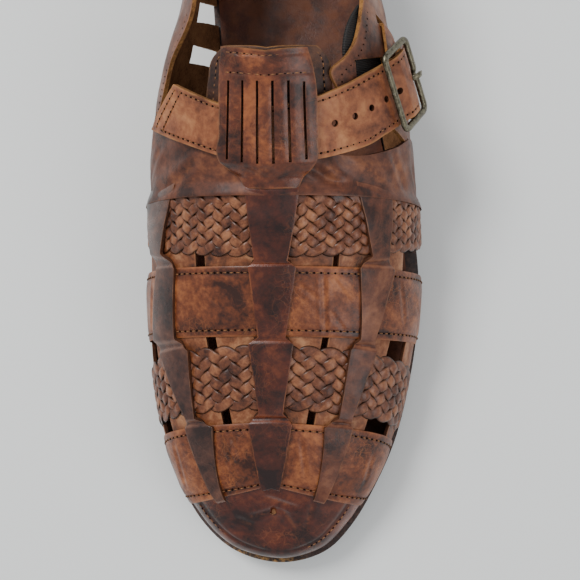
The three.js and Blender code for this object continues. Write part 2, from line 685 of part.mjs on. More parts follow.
// The ankle strap. Its rows are drawn in or out round their middle until it is STRAP_WIDTH wide in
// the buckle.
function strapSpot(value, t) {
  return {
    u: THREE.MathUtils.lerp(value('toeU'), value('heelU'), t),
    v: THREE.MathUtils.lerp(value('toeV'), value('heelV'), t),
    lift: ANKLE_LIFT + BUCKLE_RISE * value('rise'),
  };
}

function drawnWidth() {
  const row = (key) => ANKLE_STRAP[BUCKLE_ROW][key];
  const [toe, heel] = [strapSpot(row, 0), strapSpot(row, 1)];
  return lifted(toe.u, toe.v, toe.lift).distanceTo(lifted(heel.u, heel.v, heel.lift));
}

const STRAP_DRAW = STRAP_WIDTH / drawnWidth();
const anklePlace = (s, t) => strapSpot(reader(ANKLE_STRAP, s), 0.5 + (t - 0.5) * STRAP_DRAW);

function buildAnkleStrap() {
  return sheet((ANKLE_STRAP.length - 1) * 2, 2, (s, t) => {
    const { u, v, lift } = anklePlace(s, t);
    return { u, v, inner: lift, outer: lift + ANKLE_WALL };
  });
}

// The places of the strap's holes, counted from the prong's towards the flap and towards the tip.
const HOLES_FLAP_SIDE = 5;
const HOLES_TIP_SIDE = 2;
function holePlaces() {
  const samples = 40 * (ANKLE_STRAP.length - 1);
  const prong = new THREE.Vector3(PRONG_HOLE.x, 0, 0).applyMatrix4(BUCKLE_MATRIX);
  let run = 0;
  let before = null;
  const line = Array.from({ length: samples + 1 }, (_, i) => {
    const spot = anklePlace(i / samples, 0.5);
    const point = lifted(spot.u, spot.v, spot.lift + ANKLE_WALL / 2);
    run += before ? point.distanceTo(before) : 0;
    before = point;
    return { ...spot, point, run };
  });
  const nearest = (away) => line.reduce((best, next) => (away(next) < away(best) ? next : best));
  const start = nearest(({ point }) => point.distanceTo(prong)).run;
  const places = [];
  for (let k = -HOLES_FLAP_SIDE; k <= HOLES_TIP_SIDE; k += 1) {
    if (k) places.push(nearest((spot) => Math.abs(spot.run - start - k * HOLE_PITCH)));
  }
  return places;
}

// The round holes along the strap. The prong stands in a wider one.
function punchedStrap() {
  const radius = HOLE_DIAMETER / 2;
  const holes = holePlaces().map(({ u, v, point }) => {
    const punch = new THREE.CylinderGeometry(radius, radius, 4 * ANKLE_WALL, 6);
    const turn = new THREE.Quaternion();
    punch.applyQuaternion(turn.setFromUnitVectors(THREE.Object3D.DEFAULT_UP, lastNormal(u, v)));
    punch.translate(...point.toArray());
    return toManifold(punch);
  });
  const wideRadius = PRONG_WIDTH / 2 + PRONG_PLAY;
  const wide = new THREE.CylinderGeometry(wideRadius, wideRadius, 6 * ANKLE_WALL, 8);
  wide.rotateX(Math.PI / 2);
  wide.translate(PRONG_HOLE.x, 0, 0);
  return cut(buildAnkleStrap(), [...holes, toManifold(wide.applyMatrix4(BUCKLE_MATRIX))]);
}

// The buckle

function roundedRectangle(path, width, height, radius) {
  const x = width / 2 - radius;
  const y = height / 2 - radius;
  path.absarc(x, y, radius, 0, Math.PI / 2);
  path.absarc(-x, y, radius, Math.PI / 2, Math.PI);
  path.absarc(-x, -y, radius, Math.PI, 1.5 * Math.PI);
  path.absarc(x, -y, radius, 1.5 * Math.PI, 2 * Math.PI);
  return path;
}

function buildBuckleFrame() {
  const shape = roundedRectangle(new THREE.Shape(), BUCKLE_WIDTH, BUCKLE_LENGTH, BUCKLE_CORNER);
  const inside = [BUCKLE_WIDTH - 2 * BUCKLE_WIRE, BUCKLE_LENGTH - 2 * BUCKLE_WIRE];
  shape.holes.push(roundedRectangle(new THREE.Path(), ...inside, BUCKLE_CORNER - BUCKLE_WIRE));
  const bevel = BUCKLE_WIRE / 4;
  const ring = new THREE.ExtrudeGeometry(shape, {
    depth: BUCKLE_WIRE - 2 * bevel, bevelThickness: bevel, bevelSize: bevel, bevelOffset: -bevel,
    bevelSegments: 1, curveSegments: 2,
  });
  ring.translate(0, 0, bevel - BUCKLE_WIRE / 2);
  const bar = new THREE.CylinderGeometry(CENTRE_BAR / 2, CENTRE_BAR / 2, BUCKLE_LENGTH - BUCKLE_WIRE, 8);
  bar.translate(0, 0, -CENTRE_DROP);
  const post = (end) => {
    const leg = new THREE.CylinderGeometry(CENTRE_BAR / 2, CENTRE_BAR / 2, CENTRE_DROP, 8);
    leg.rotateX(Math.PI / 2);
    leg.translate(0, (end * (BUCKLE_LENGTH - BUCKLE_WIRE)) / 2, -CENTRE_DROP / 2);
    return leg;
  };
  return join([ring, bar, post(1), post(-1)].map((geometry) => (
    toManifold(geometry.applyMatrix4(BUCKLE_MATRIX))
  )));
}

// An eye round the centre bar, seen along the bar.
function eye(thickness) {
  const hole = CENTRE_BAR / 2 + FIT_GAP;
  const ring = new THREE.Shape().absarc(0, -CENTRE_DROP, hole + thickness, 0, 2 * Math.PI);
  ring.holes.push(new THREE.Path().absarc(0, -CENTRE_DROP, hole, 0, 2 * Math.PI));
  return ring;
}

// Extrudes a side profile of the buckle along the centre bar, from one place on it to another.
function alongBar(shape, from, to) {
  const geometry = new THREE.ExtrudeGeometry(shape, {
    depth: to - from, bevelEnabled: false, curveSegments: 4,
  });
  geometry.rotateX(Math.PI / 2);
  geometry.translate(0, to, 0);
  return toManifold(geometry.applyMatrix4(BUCKLE_MATRIX));
}

function buildProng() {
  const half = PRONG_THICKNESS / 2;
  const top = PRONG_ARM.map(({ x, z }) => new THREE.Vector2(x, z + half));
  const under = PRONG_ARM.map(({ x, z, shift }) => (
    new THREE.Vector2(x + shift * PRONG_THICKNESS, z - half)
  ));
  const arm = new THREE.Shape([...top, ...under.reverse()]);
  const width = PRONG_WIDTH / 2;
  return alongBar(eye(PRONG_THICKNESS), -width, width).add(alongBar(arm, -width, width));
}

// How far the prong's eye needs the tab forked, from the centre bar.
const PRONG_REACH = 3.2;

// The leather tab: a leaf along the quarter, and an eye each side of the prong.
function buildBuckleTab() {
  const inner = STRAP_WALL + FIT_GAP;
  const leaf = sheet((BUCKLE_TAB.length - 1) * 2, 3, (s, t) => {
    const value = reader(BUCKLE_TAB, s);
    return {
      u: THREE.MathUtils.lerp(value('toeU'), value('heelU'), t),
      v: THREE.MathUtils.lerp(value('toeV'), value('heelV'), t),
      inner,
      outer: inner + TAB_WALL,
    };
  });
  const from = PRONG_WIDTH / 2 + FIT_GAP;
  const to = TAB_WIDTH / 2;
  const fork = new THREE.BoxGeometry(2 * PRONG_REACH, 2 * from, 3 * PRONG_REACH);
  const whole = join([leaf, alongBar(eye(TAB_WALL), from, to), alongBar(eye(TAB_WALL), -to, -from)]);
  return whole.subtract(toManifold(fork.applyMatrix4(BUCKLE_MATRIX)));
}

function buildElastic() {
  return strip(ELASTIC, 3, -2 * SEAT_GAP - ELASTIC_WALL, -2 * SEAT_GAP);
}

const parts = {
  heel: [buildHeel(), 0x3a2418, 0.7],
  outsole: [buildOutsole(), 0x2b1d16, 0.8],
  midsole: [buildMidsole(), 0x4a2f20, 0.6],
  insole: [buildInsole(), 0x4d2a1c, 0.6],
  upper: [buildUpper(), 0x6b3a22, 0.45],
  tongue: [buildTongue(), 0x5a3020, 0.5],
  ankle_strap: [punchedStrap(), 0x8c5537, 0.5],
  buckle_frame: [buildBuckleFrame(), 0x8a7d62, 0.4],
  buckle_prong: [buildProng(), 0x8a7d62, 0.4],
  buckle_tab: [buildBuckleTab(), 0x7a4a2c, 0.6],
  elastic_gore: [buildElastic(), 0x17130f, 0.8],
};

const sandal = new THREE.Group();
for (const [name, [body, colour, roughness]] of Object.entries(parts)) {
  const { vertProperties, triVerts } = body.getMesh();
  const geometry = new THREE.BufferGeometry();
  geometry.setAttribute('position', new THREE.BufferAttribute(new Float32Array(vertProperties), 3));
  geometry.setIndex(new THREE.BufferAttribute(new Uint32Array(triVerts), 1));
  geometry.computeVertexNormals();
  const metalness = name === 'buckle_frame' || name === 'buckle_prong' ? 0.9 : 0;
  const material = new THREE.MeshStandardMaterial({ color: colour, roughness, metalness });
  const mesh = new THREE.Mesh(geometry, material);
  mesh.name = name;
  sandal.add(mesh);
}

export default sandal;
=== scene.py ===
"""The looks of a fisherman sandal, left foot, standing empty on its sole. Metres, toe towards -Y."""

import math

import bmesh
import bpy
import numpy as np
from mathutils import Matrix, Vector, noise


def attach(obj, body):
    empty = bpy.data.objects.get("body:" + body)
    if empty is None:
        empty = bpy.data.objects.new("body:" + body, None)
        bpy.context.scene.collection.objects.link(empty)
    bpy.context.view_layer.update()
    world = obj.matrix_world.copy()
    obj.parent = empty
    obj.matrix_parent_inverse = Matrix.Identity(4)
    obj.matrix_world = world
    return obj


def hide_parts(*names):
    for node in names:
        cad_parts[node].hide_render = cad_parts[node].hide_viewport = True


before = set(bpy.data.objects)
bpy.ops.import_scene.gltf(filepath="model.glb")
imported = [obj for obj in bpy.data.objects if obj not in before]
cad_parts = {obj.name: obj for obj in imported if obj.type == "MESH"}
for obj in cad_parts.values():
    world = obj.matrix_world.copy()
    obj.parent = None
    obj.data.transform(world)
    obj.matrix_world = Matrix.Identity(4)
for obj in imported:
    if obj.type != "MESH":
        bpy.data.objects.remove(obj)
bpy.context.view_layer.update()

# Insole
# A smooth red-brown leather board, the shape of the foot's underside, laid on the midsole.
# It is cut to the feather edge of the last, the wooden form over which the sandal is made.
mm = 0.001
LAST_LENGTH = 282 * mm
BALL_WIDTH = 100 * mm
INSTEP_RISE = 75.5 * mm
TOE_SPRING = 4.5 * mm
HEEL_RISE = 15 * mm
HEEL_BACK = 34 * mm
MIDSOLE_THICKNESS = 3.4 * mm
OUTSOLE_THICKNESS = 4.2 * mm
INSOLE_THICKNESS = 2.4 * mm
INSOLE_INSET = 0.8 * mm
FIT_GAP = 0.3 * mm
SOLE_STACK = MIDSOLE_THICKNESS + OUTSOLE_THICKNESS + 3 * FIT_GAP


def table(columns, rows):
    """Rows of numbers as named columns."""
    return dict(zip(columns.split(), np.array(rows, float).T))


# One row per section, u from the toe tip to the heel's back, in shares of the sizes above.
SECTIONS = table("u along medial lateral spring rise ridge offset height fullness lean_medial lean_lateral", [
    [0.00, 0.000, 0.000, 0.000, 1.00, 0.00, 0.068, -0.020, 0.212, 0.62, 0.12, 0.12],
    [0.04, 0.013, 0.158, 0.148, 0.93, 0.00, 0.075, -0.020, 0.236, 0.62, 0.14, 0.12],
    [0.08, 0.046, 0.275, 0.245, 0.73, 0.00, 0.090, -0.020, 0.287, 0.62, 0.16, 0.12],
    [0.12, 0.092, 0.360, 0.325, 0.47, 0.00, 0.112, -0.020, 0.350, 0.62, 0.18, 0.13],
    [0.18, 0.158, 0.430, 0.410, 0.18, 0.00, 0.165, -0.020, 0.446, 0.62, 0.18, 0.14],
    [0.26, 0.240, 0.475, 0.470, 0.00, 0.00, 0.243, -0.020, 0.550, 0.62, 0.17, 0.15],
    [0.34, 0.325, 0.485, 0.505, 0.00, 0.00, 0.325, -0.020, 0.656, 0.62, 0.20, 0.16],
    [0.43, 0.415, 0.455, 0.505, 0.00, 0.08, 0.412, -0.020, 0.772, 0.60, 0.28, 0.18],
    [0.52, 0.505, 0.395, 0.460, 0.00, 0.27, 0.497, -0.020, 0.881, 0.58, 0.43, 0.28],
    [0.62, 0.605, 0.315, 0.395, 0.00, 0.53, 0.590, -0.015, 1.000, 0.56, 0.51, 0.34],
    [0.72, 0.710, 0.270, 0.350, 0.00, 0.77, 0.680, -0.005, 1.113, 0.55, 0.34, 0.21],
    [0.82, 0.825, 0.285, 0.325, 0.00, 0.93, 0.760,  0.000, 1.185, 0.55, 0.12, 0.07],
    [0.91, 0.935, 0.255, 0.270, 0.00, 1.00, 0.815,  0.000, 1.225, 0.55, 0.05, 0.05],
    [0.96, 0.984, 0.155, 0.155, 0.00, 1.00, 0.835,  0.000, 1.238, 0.55, 0.06, 0.06],
    [1.00, 1.000, 0.000, 0.000, 0.00, 1.00, 0.845,  0.000, 1.238, 0.55, 0.08, 0.08],
])


def flowing(xs, ys, ends=None):
    """A smooth curve through chosen points. With ends 1 or -1 it runs on past them as a mirror image."""
    order = np.argsort(xs)
    xs, ys = np.array(xs, float)[order], np.array(ys, float)[order]
    slopes = np.gradient(ys, xs) if len(xs) > 2 else np.full(2, (ys[1] - ys[0]) / (xs[1] - xs[0]))
    if ends:
        wide_x = np.r_[-xs[1], xs, 2 - xs[-2]]
        wide_y = np.r_[ends * ys[1], ys, ends * ys[-2]]
        slopes = (wide_y[2:] - wide_y[:-2]) / (wide_x[2:] - wide_x[:-2])

    def at(x):
        x = np.clip(np.asarray(x, float), xs[0], xs[-1])
        i = np.clip(np.searchsorted(xs, x, side="right") - 1, 0, len(xs) - 2)
        h = xs[i + 1] - xs[i]
        t = (x - xs[i]) / h
        return ((2 * t**3 - 3 * t**2 + 1) * ys[i] + (t**3 - 2 * t**2 + t) * h * slopes[i]
                + (3 * t**2 - 2 * t**3) * ys[i + 1] + (t**3 - t**2) * h * slopes[i + 1])
    return at


section = {key: flowing(SECTIONS["u"], SECTIONS[key], -1 if key in ("medial", "lateral") else 1)
           for key in SECTIONS if key != "u"}


def lerp(a, b, t):
    return a + (b - a) * t


def axis_y(share):
    return HEEL_BACK - LAST_LENGTH * (1 - share)


def feather_z(u):
    return SOLE_STACK + TOE_SPRING * section["spring"](u) + HEEL_RISE * section["rise"](u)


def ridge_z(u):
    return feather_z(u) + INSTEP_RISE * section["height"](u)


def surface(u, v):
    """Points of the last: v is -1 and 1 at the medial and lateral feather edge, 0 along the ridge."""
    u, v = (np.array(a, float) for a in np.broadcast_arrays(u, v))
    past = (u < 0) | (u > 1)
    u = np.where(u < 0, -u, np.where(u > 1, 2 - u, u))
    v = np.where(past, -v, v)
    medial = v < 0
    half = BALL_WIDTH * np.where(medial, -section["medial"](u), section["lateral"](u))
    lean = np.where(medial, section["lean_medial"](u), section["lean_lateral"](u))
    foot_y, foot_z = axis_y(section["along"](u)), feather_z(u)
    top_x, top_y, top_z = BALL_WIDTH * section["offset"](u), axis_y(section["ridge"](u)), ridge_z(u)
    step = 1e-3
    a, b = np.clip(u - step, 0, 1), np.clip(u + step, 0, 1)
    run = np.maximum(axis_y(section["ridge"](b)) - axis_y(section["ridge"](a)), 1e-9)
    slope = (ridge_z(b) - ridge_z(a)) / run
    rise, full = top_z - foot_z, section["fullness"](u)
    out_x, out_y = half - top_x, foot_y - top_y
    reach = np.maximum(np.hypot(out_x, out_y), 1e-9)
    k = 1 - np.abs(v)
    weights = (1 - k)**3, 3 * k * (1 - k)**2, 3 * k * k * (1 - k), k**3
    xs = half, half + out_x / reach * lean * rise, top_x + out_x * full, top_x
    ys = foot_y, foot_y + out_y / reach * lean * rise, top_y + out_y * full, top_y
    zs = foot_z, foot_z + full * rise, top_z + out_y * full * slope, top_z
    return np.stack([sum(w * c for w, c in zip(weights, cs)) for cs in (xs, ys, zs)], -1)


def outward(u, v):
    """The last's outward directions. Near the feather edge they turn level, where walls meet the sole."""
    step, turn = 2e-3, 0.05
    inner = np.clip(v, step - 1, 1 - step)
    along = surface(u + step, inner) - surface(u - step, inner)
    across = surface(u, inner + step) - surface(u, inner - step)
    normal = np.cross(across, along)
    normal /= np.maximum(np.linalg.norm(normal, axis=-1, keepdims=True), 1e-15)
    level = np.minimum(1, (1 - np.abs(v)) / turn)
    normal[..., 2] *= np.where(normal[..., 2] < 0, level, 1)
    return normal / np.maximum(np.linalg.norm(normal, axis=-1, keepdims=True), 1e-15)


def lifted(u, v, lift):
    u, v, lift = np.broadcast_arrays(np.asarray(u, float), np.asarray(v, float), np.asarray(lift, float))
    return surface(u, v) + outward(u, v) * lift[..., None]


def outline(u, side, margin):
    """The feather line seen from above, moved outwards."""
    step = 2e-3
    run = surface(u + step, side) - surface(u - step, side)
    out = np.stack([run[..., 1] * side, -run[..., 0] * side], -1)
    out *= margin / np.linalg.norm(out, axis=-1, keepdims=True)
    return surface(u, side)[..., :2] + out


def srgb(red, green, blue):
    """A colour as a painter's chart gives it, 0 to 255, made linear."""
    return tuple(((c / 255 + 0.055) / 1.055) ** 2.4 for c in (red, green, blue)) + (1,)


class Tree:
    """The nodes of one finish."""

    def __init__(self, name):
        self.material = bpy.data.materials.new(name)
        self.material.use_nodes = True
        self.nodes, self.links = self.material.node_tree.nodes, self.material.node_tree.links
        self.nodes.clear()
        self.shader = self.add("BsdfPrincipled")
        self.links.new(self.shader.outputs[0], self.add("OutputMaterial").inputs["Surface"])
        self.object = self.add("TexCoord").outputs["Object"]
        self.uv = self.add("TexCoord").outputs["UV"]

    def add(self, kind, inputs=(), **settings):
        node = self.nodes.new("ShaderNode" + kind)
        for key, value in settings.items():
            setattr(node, key, value)
        self.feed(node, dict(inputs))
        return node

    def feed(self, node, inputs):
        for key, value in inputs.items():
            if isinstance(value, bpy.types.NodeSocket):
                self.links.new(value, node.inputs[key])
            else:
                node.inputs[key].default_value = value

    def calc(self, operation, a, b=0.0):
        return self.add("Math", {0: a, 1: b}, operation=operation, use_clamp=False).outputs[0]

    def plus(self, a, b):
        return self.calc("ADD", a, b)

    def times(self, a, b):
        return self.calc("MULTIPLY", a, b)

    def swing(self, value, amount):
        """A noise turned from its middle at a half to a swing of this amount round nought."""
        return self.times(self.calc("SUBTRACT", value, 0.5), amount)

    def remap(self, value, low, high, new_low=0.0, new_high=1.0):
        return self.add("MapRange", {0: value, 1: low, 2: high, 3: new_low, 4: new_high},
                        interpolation_type="SMOOTHSTEP").outputs[0]

    def blend(self, factor, a, b):
        return self.add("Mix", {0: factor, 6: a, 7: b}, data_type="RGBA", blend_type="MIX",
                        clamp_factor=True).outputs[2]

    def noise(self, scale, detail=3.0, rough=0.55, distort=0.0, stretch=None):
        where = self.object
        if stretch:
            where = self.add("Mapping", {"Vector": where, "Scale": stretch}).outputs[0]
        return self.add("TexNoise", {"Vector": where, "Scale": scale, "Detail": detail,
                                     "Roughness": rough, "Distortion": distort}).outputs[0]

    def cells(self, scale, where=None, feature="F1", uneven=1.0):
        return self.add("TexVoronoi", {"Vector": where or self.object, "Scale": scale, "Randomness": uneven},
                        feature=feature).outputs["Distance"]

    def marked(self, name):
        return self.add("Attribute", attribute_name=name).outputs["Fac"]

    def bump(self, height, distance, strength, under=None):
        inputs = {"Height": height, "Distance": distance, "Strength": strength}
        if under:
            inputs["Normal"] = under
        return self.add("Bump", inputs).outputs[0]


# The near-black brown of painted shade, laid where a piece marks shade between or under parts.
PAINTED_SHADE_BROWN = srgb(20, 9, 5)


def leather(name, colours, gloss=(0.34, 0.56), craze=0.5, worn_edge=0.8, rub=0.5, coat=0.06, blotch=70.0,
            contrast=1.0):
    """Waxed, hand-burnished leather: blotches, fine pores, crazed pale lines and rubbed edges.
    The colours are those of its dark blotches, its body, its light blotches and where it is worn.
    Worn_edge is how far in from an edge it is rubbed, in mm, rub how much, and blotch how many to a metre."""
    tree = Tree(name)
    dark, body, light, worn = (srgb(*colour) for colour in colours)
    warp = tree.add("MixRGB", {0: 0.012, 1: tree.object, 2: tree.add(
        "TexNoise", {"Vector": tree.object, "Scale": 90.0, "Detail": 3.0}).outputs["Color"]}).outputs[0]
    blotches = tree.noise(blotch, 5.0, 0.62, 0.6)
    speckle = tree.noise(blotch * 6, 4.0, 0.65)
    # The tone mark is each piece's own lighter and darker stretches; on some pieces it also carries painted
    # shade and painted highlight.
    tone = tree.marked("tone")
    mixed = tree.plus(tree.swing(blotches, 2.3 * contrast), tree.swing(speckle, 0.9))
    shade = tree.plus(tree.plus(mixed, 0.5), tree.times(tone, 0.5))
    ramp = tree.add("ValToRGB", {0: shade})
    stops = ramp.color_ramp.elements
    stops[0].position, stops[0].color = 0.1, dark
    stops[1].position, stops[1].color = 0.98, light
    stops.new(0.52).color = body
    lines = tree.remap(tree.cells(170.0, warp, "DISTANCE_TO_EDGE"), 0.0, 0.03, 1.0, 0.0)
    hairs = tree.remap(tree.cells(430.0, warp, "DISTANCE_TO_EDGE"), 0.0, 0.05, 1.0, 0.0)
    patch = tree.remap(tree.noise(38.0, 2.0), 0.42, 0.62)
    crazed = tree.times(tree.calc("MAXIMUM", lines, tree.times(hairs, 0.6)), patch)
    crease = tree.times(tree.marked("crease"), tree.remap(speckle, 0.38, 0.62, 0.0, 0.45))
    pale = tree.calc("MAXIMUM", tree.times(crazed, craze), crease)
    colour = tree.blend(tree.times(pale, 0.7), ramp.outputs[0], worn)
    edge = tree.plus(tree.marked("edge"), tree.swing(speckle, 1.6))
    broken = tree.remap(tree.noise(130.0, 3.0), 0.40, 0.62, 0.1, rub)
    rubbed = tree.times(tree.remap(edge, 0.05, worn_edge, 1.0, 0.0), broken)
    colour = tree.blend(rubbed, colour, worn)
    # Painted shade: where a piece marks it, the colour is darkened to near-black brown in place of the shade
    # between and under parts.
    colour = tree.blend(tree.marked("dirt"), colour, PAINTED_SHADE_BROWN)
    sheen = tree.remap(tree.noise(95.0, 4.0, 0.6), 0.35, 0.68, *gloss)
    rough = tree.plus(sheen, tree.times(rubbed, 0.2))
    pores = tree.plus(tree.times(tree.cells(1500.0), 0.5), tree.noise(2600.0, 3.0))
    under = tree.bump(pores, 0.05 * mm, 0.5)
    wrinkles = tree.noise(420.0, 4.0, 0.55, 1.4)
    under = tree.bump(wrinkles, 0.2 * mm, 0.4, under)
    under = tree.bump(tree.times(crazed, -1.0), 0.1 * mm, 0.35, under)
    tree.feed(tree.shader, {"Base Color": colour, "Roughness": rough, "Normal": under,
                            "Coat Weight": coat, "Coat Roughness": 0.3, "Specular IOR Level": 0.36})
    return tree.material


# The near-black brown of painted shade on cut edges.
EDGE_PAINTED_SHADE_BROWN = srgb(20, 11, 8)


def raw_edge(name, dark, light, fuzz=1.0):
    """The cut edge or the flesh side of leather: matt, fibrous and unevenly stained."""
    tree = Tree(name)
    fibres = tree.noise(900.0, 5.0, 0.7, 0.8, stretch=(1, 1, 2.2))
    stains = tree.noise(140.0, 4.0, 0.6)
    share = tree.plus(tree.times(fibres, 0.6), tree.times(stains, 0.5))
    colour = tree.blend(tree.remap(share, 0.35, 0.72), srgb(*dark), srgb(*light))
    # Painted shade: cut edges darken where their piece is marked with painted shade.
    colour = tree.blend(tree.marked("dirt"), colour, EDGE_PAINTED_SHADE_BROWN)
    tree.feed(tree.shader, {"Base Color": colour, "Roughness": 0.88, "Specular IOR Level": 0.25,
                            "Normal": tree.bump(fibres, 0.3 * mm, 0.7 * fuzz)})
    return tree.material


def fit(piece, slot, *nodes):
    """The piece rides on the sandal's one body and stands for the solids that it dresses."""
    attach(piece, "root")
    if nodes:
        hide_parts(*nodes)


def settle(form, name, finishes):
    """Makes an object of a worked form."""
    mesh = bpy.data.meshes.new(name)
    form.to_mesh(mesh)
    form.free()
    for finish in finishes:
        mesh.materials.append(finish)
    piece = bpy.data.objects.new(name, mesh)
    bpy.context.scene.collection.objects.link(piece)
    mesh.shade_smooth()
    return piece


def round_edge(piece, name, width, segments, angle):
    """Rounds the edges that turn by more than this many degrees."""
    bevel = piece.modifiers.new(name, "BEVEL")
    bevel.width, bevel.segments = width, segments
    bevel.limit_method, bevel.angle_limit = "ANGLE", math.radians(angle)


def mark(mesh, name, values):
    layer = mesh.attributes.new(name, "FLOAT", "POINT")
    layer.data.foreach_set("value", np.asarray(values, np.float32))


def thick_grid(rows, columns):
    """A flat grid drawn out to a block. Gives the form, each corner's two shares, and which are low."""
    form = bmesh.new()
    bmesh.ops.create_grid(form, x_segments=columns, y_segments=rows, size=0.5)
    drawn = bmesh.ops.extrude_face_region(form, geom=form.faces[:])["geom"]
    bmesh.ops.translate(form, verts=[e for e in drawn if isinstance(e, bmesh.types.BMVert)], vec=(0, 0, -1))
    corners = np.array([c.co for c in form.verts])
    return form, corners[:, 1] + 0.5, corners[:, 0] + 0.5, corners[:, 2] < -0.5


def put(form, points):
    for corner, point in zip(form.verts, points):
        corner.co = point


# The rim is trimmed close along the inner waist, between the ball of the foot and the heel's back.
WAIST_TRIM = 2.6 * mm
WAIST = table("u share", [[0.50, 0], [0.62, 1], [0.86, 1], [0.98, 0]])


def plate(name, finishes, top, bottom, top_margin, bottom_margin, start=0.0, size=(110, 28), edge=0.5 * mm,
          trim=WAIST_TRIM):
    """A board across the foot between two heights, from one section to the heel's back."""
    form, s, t, low = thick_grid(*size)
    cluster = 0.8
    u = start + (1 - start) * np.sin(s * math.pi / 2) if start else (
        s - cluster * np.sin(2 * math.pi * s) / (2 * math.pi))
    margin = np.where(low, bottom_margin, top_margin)[:, None]
    inner = margin - trim * np.interp(u, WAIST["u"], WAIST["share"])[:, None]
    plan = lerp(outline(u, -1, inner), outline(u, 1, margin), t[:, None])
    put(form, np.column_stack([plan, np.where(low, bottom(u), top(u))]))
    bmesh.ops.remove_doubles(form, verts=form.verts[:], dist=1e-6)
    bmesh.ops.recalc_face_normals(form, faces=form.faces[:])
    for face in form.faces:
        face.material_index = 0 if face.normal.z > 0.7 else 1
    piece = settle(form, name, finishes)
    round_edge(piece, "worn edge", edge, 3, 50)
    return piece


insole_top = leather("insole grain", [(48, 22, 14), (78, 38, 24), (104, 56, 36), (128, 78, 50)],
                     gloss=(0.42, 0.6), craze=0.25, coat=0.0)
insole_side = raw_edge("insole edge", (70, 42, 24), (126, 86, 50))
insole = plate("insole_board", [insole_top, insole_side], lambda u: feather_z(u) + INSOLE_THICKNESS,
               feather_z, -INSOLE_INSET, -INSOLE_INSET, trim=0)
fit(insole, "insole_leather", "insole")

# Midsole
# The leather midsole that the straps are lasted round. Its rim stands out past the feather edge as the
# welt: dark grey-brown and grained from wear, and rubbed back to raw tan fibre round the toe.
WELT_MARGIN = 4.4 * mm
# Where the welt is rubbed round the toe: the middle of it across the foot, and how far back it reaches.
TOE_RUB = (-12 * mm, -243 * mm)


def midsole_top(u):
    return feather_z(u) - FIT_GAP


def midsole_bottom(u):
    return midsole_top(u) - MIDSOLE_THICKNESS


def rim_finish(name, dark, light, rubbed, where):
    """Edge of a sole board: compressed fibres in layers, scuffed, with raw fibre round the toe."""
    tree = Tree(name)
    layers = tree.noise(1500.0, 4.0, 0.65, 0.5, stretch=(0.35, 0.35, 2.0))
    scuffs = tree.noise(260.0, 5.0, 0.7, 0.4)
    share = tree.plus(tree.times(layers, 0.55), tree.times(scuffs, 0.55))
    colour = tree.blend(tree.remap(share, 0.42, 0.78), dark, light)
    axes = tree.add("SeparateXYZ", {0: tree.object})
    near = tree.plus(axes.outputs["Y"], tree.times(scuffs, 14 * mm))
    across = tree.calc("ABSOLUTE", tree.calc("SUBTRACT", axes.outputs["X"], where[0]))
    toe = tree.times(tree.remap(near, where[1] - 2 * mm, where[1] + 6 * mm, 1.0, 0.0),
                    tree.remap(across, 14 * mm, 24 * mm, 1.0, 0.0))
    colour = tree.blend(toe, colour, tree.blend(tree.remap(layers, 0.4, 0.65), dark, rubbed))
    tree.feed(tree.shader, {"Base Color": colour, "Roughness": tree.remap(scuffs, 0.3, 0.7, 0.5, 0.8),
                            "Normal": tree.bump(share, 0.35 * mm, 0.75)})
    return tree.material


welt_top = rim_finish("welt", srgb(38, 26, 23), srgb(92, 68, 58), srgb(168, 124, 66), TOE_RUB)
midsole = plate("midsole_board", [welt_top, welt_top], midsole_top, midsole_bottom, WELT_MARGIN, WELT_MARGIN,
                edge=0.9 * mm)
fit(midsole, "welt_leather", "midsole")

# Outsole
# A thin moulded rubber sole, cemented under the midsole and worn flat below the ball of the foot.
# Its edge lies a little inside the welt's, and scuffs and dust have dulled it.
OUTSOLE_MARGIN = 3.4 * mm
TREAD_WEAR = 0.35 * mm


def outsole_top(u):
    return midsole_bottom(u) - FIT_GAP


def outsole_bottom(u):
    return np.maximum(0, outsole_top(u) - OUTSOLE_THICKNESS - TREAD_WEAR)


def rubber(name, dark, light):
    """Moulded sole rubber with fine scuffs and dust."""
    tree = Tree(name)
    dust = tree.noise(120.0, 5.0, 0.65)
    grit = tree.noise(1800.0, 3.0)
    tread = tree.cells(420.0, uneven=0.0)
    tree.feed(tree.shader, {
        "Base Color": tree.blend(tree.remap(dust, 0.4, 0.7), dark, light),
        "Roughness": tree.remap(dust, 0.3, 0.7, 0.6, 0.85),
        "Normal": tree.bump(tread, 0.4 * mm, 0.5, tree.bump(grit, 0.1 * mm, 0.5))})
    return tree.material


sole_rubber = rubber("sole rubber", srgb(28, 19, 16), srgb(58, 44, 36))
outsole = plate("outsole_sheet", [sole_rubber, sole_rubber], outsole_top, outsole_bottom,
                OUTSOLE_MARGIN, OUTSOLE_MARGIN - 0.6 * mm, edge=0.7 * mm)
fit(outsole, "outsole_rubber", "outsole")

# Heel
# A low stacked heel: leather lifts glued one on another, with a rubber top piece that meets the floor.
# It tapers a little on its way down, and the joints between the lifts show as lines round it.
HEEL_FRONT = 0.752
HEEL_TAPER = 1.6 * mm
HEEL_LIFTS = 4
# The lifts have no rubbed toe, so its place is given far in front of them.
NO_TOE_RUB = (0, -1)


def lift_height(k):
    """Height of the k-th joint between the lifts, from the floor up to the outsole."""
    return lambda u: np.full_like(u, 0) + (outsole_bottom(u) - FIT_GAP) * k / HEEL_LIFTS


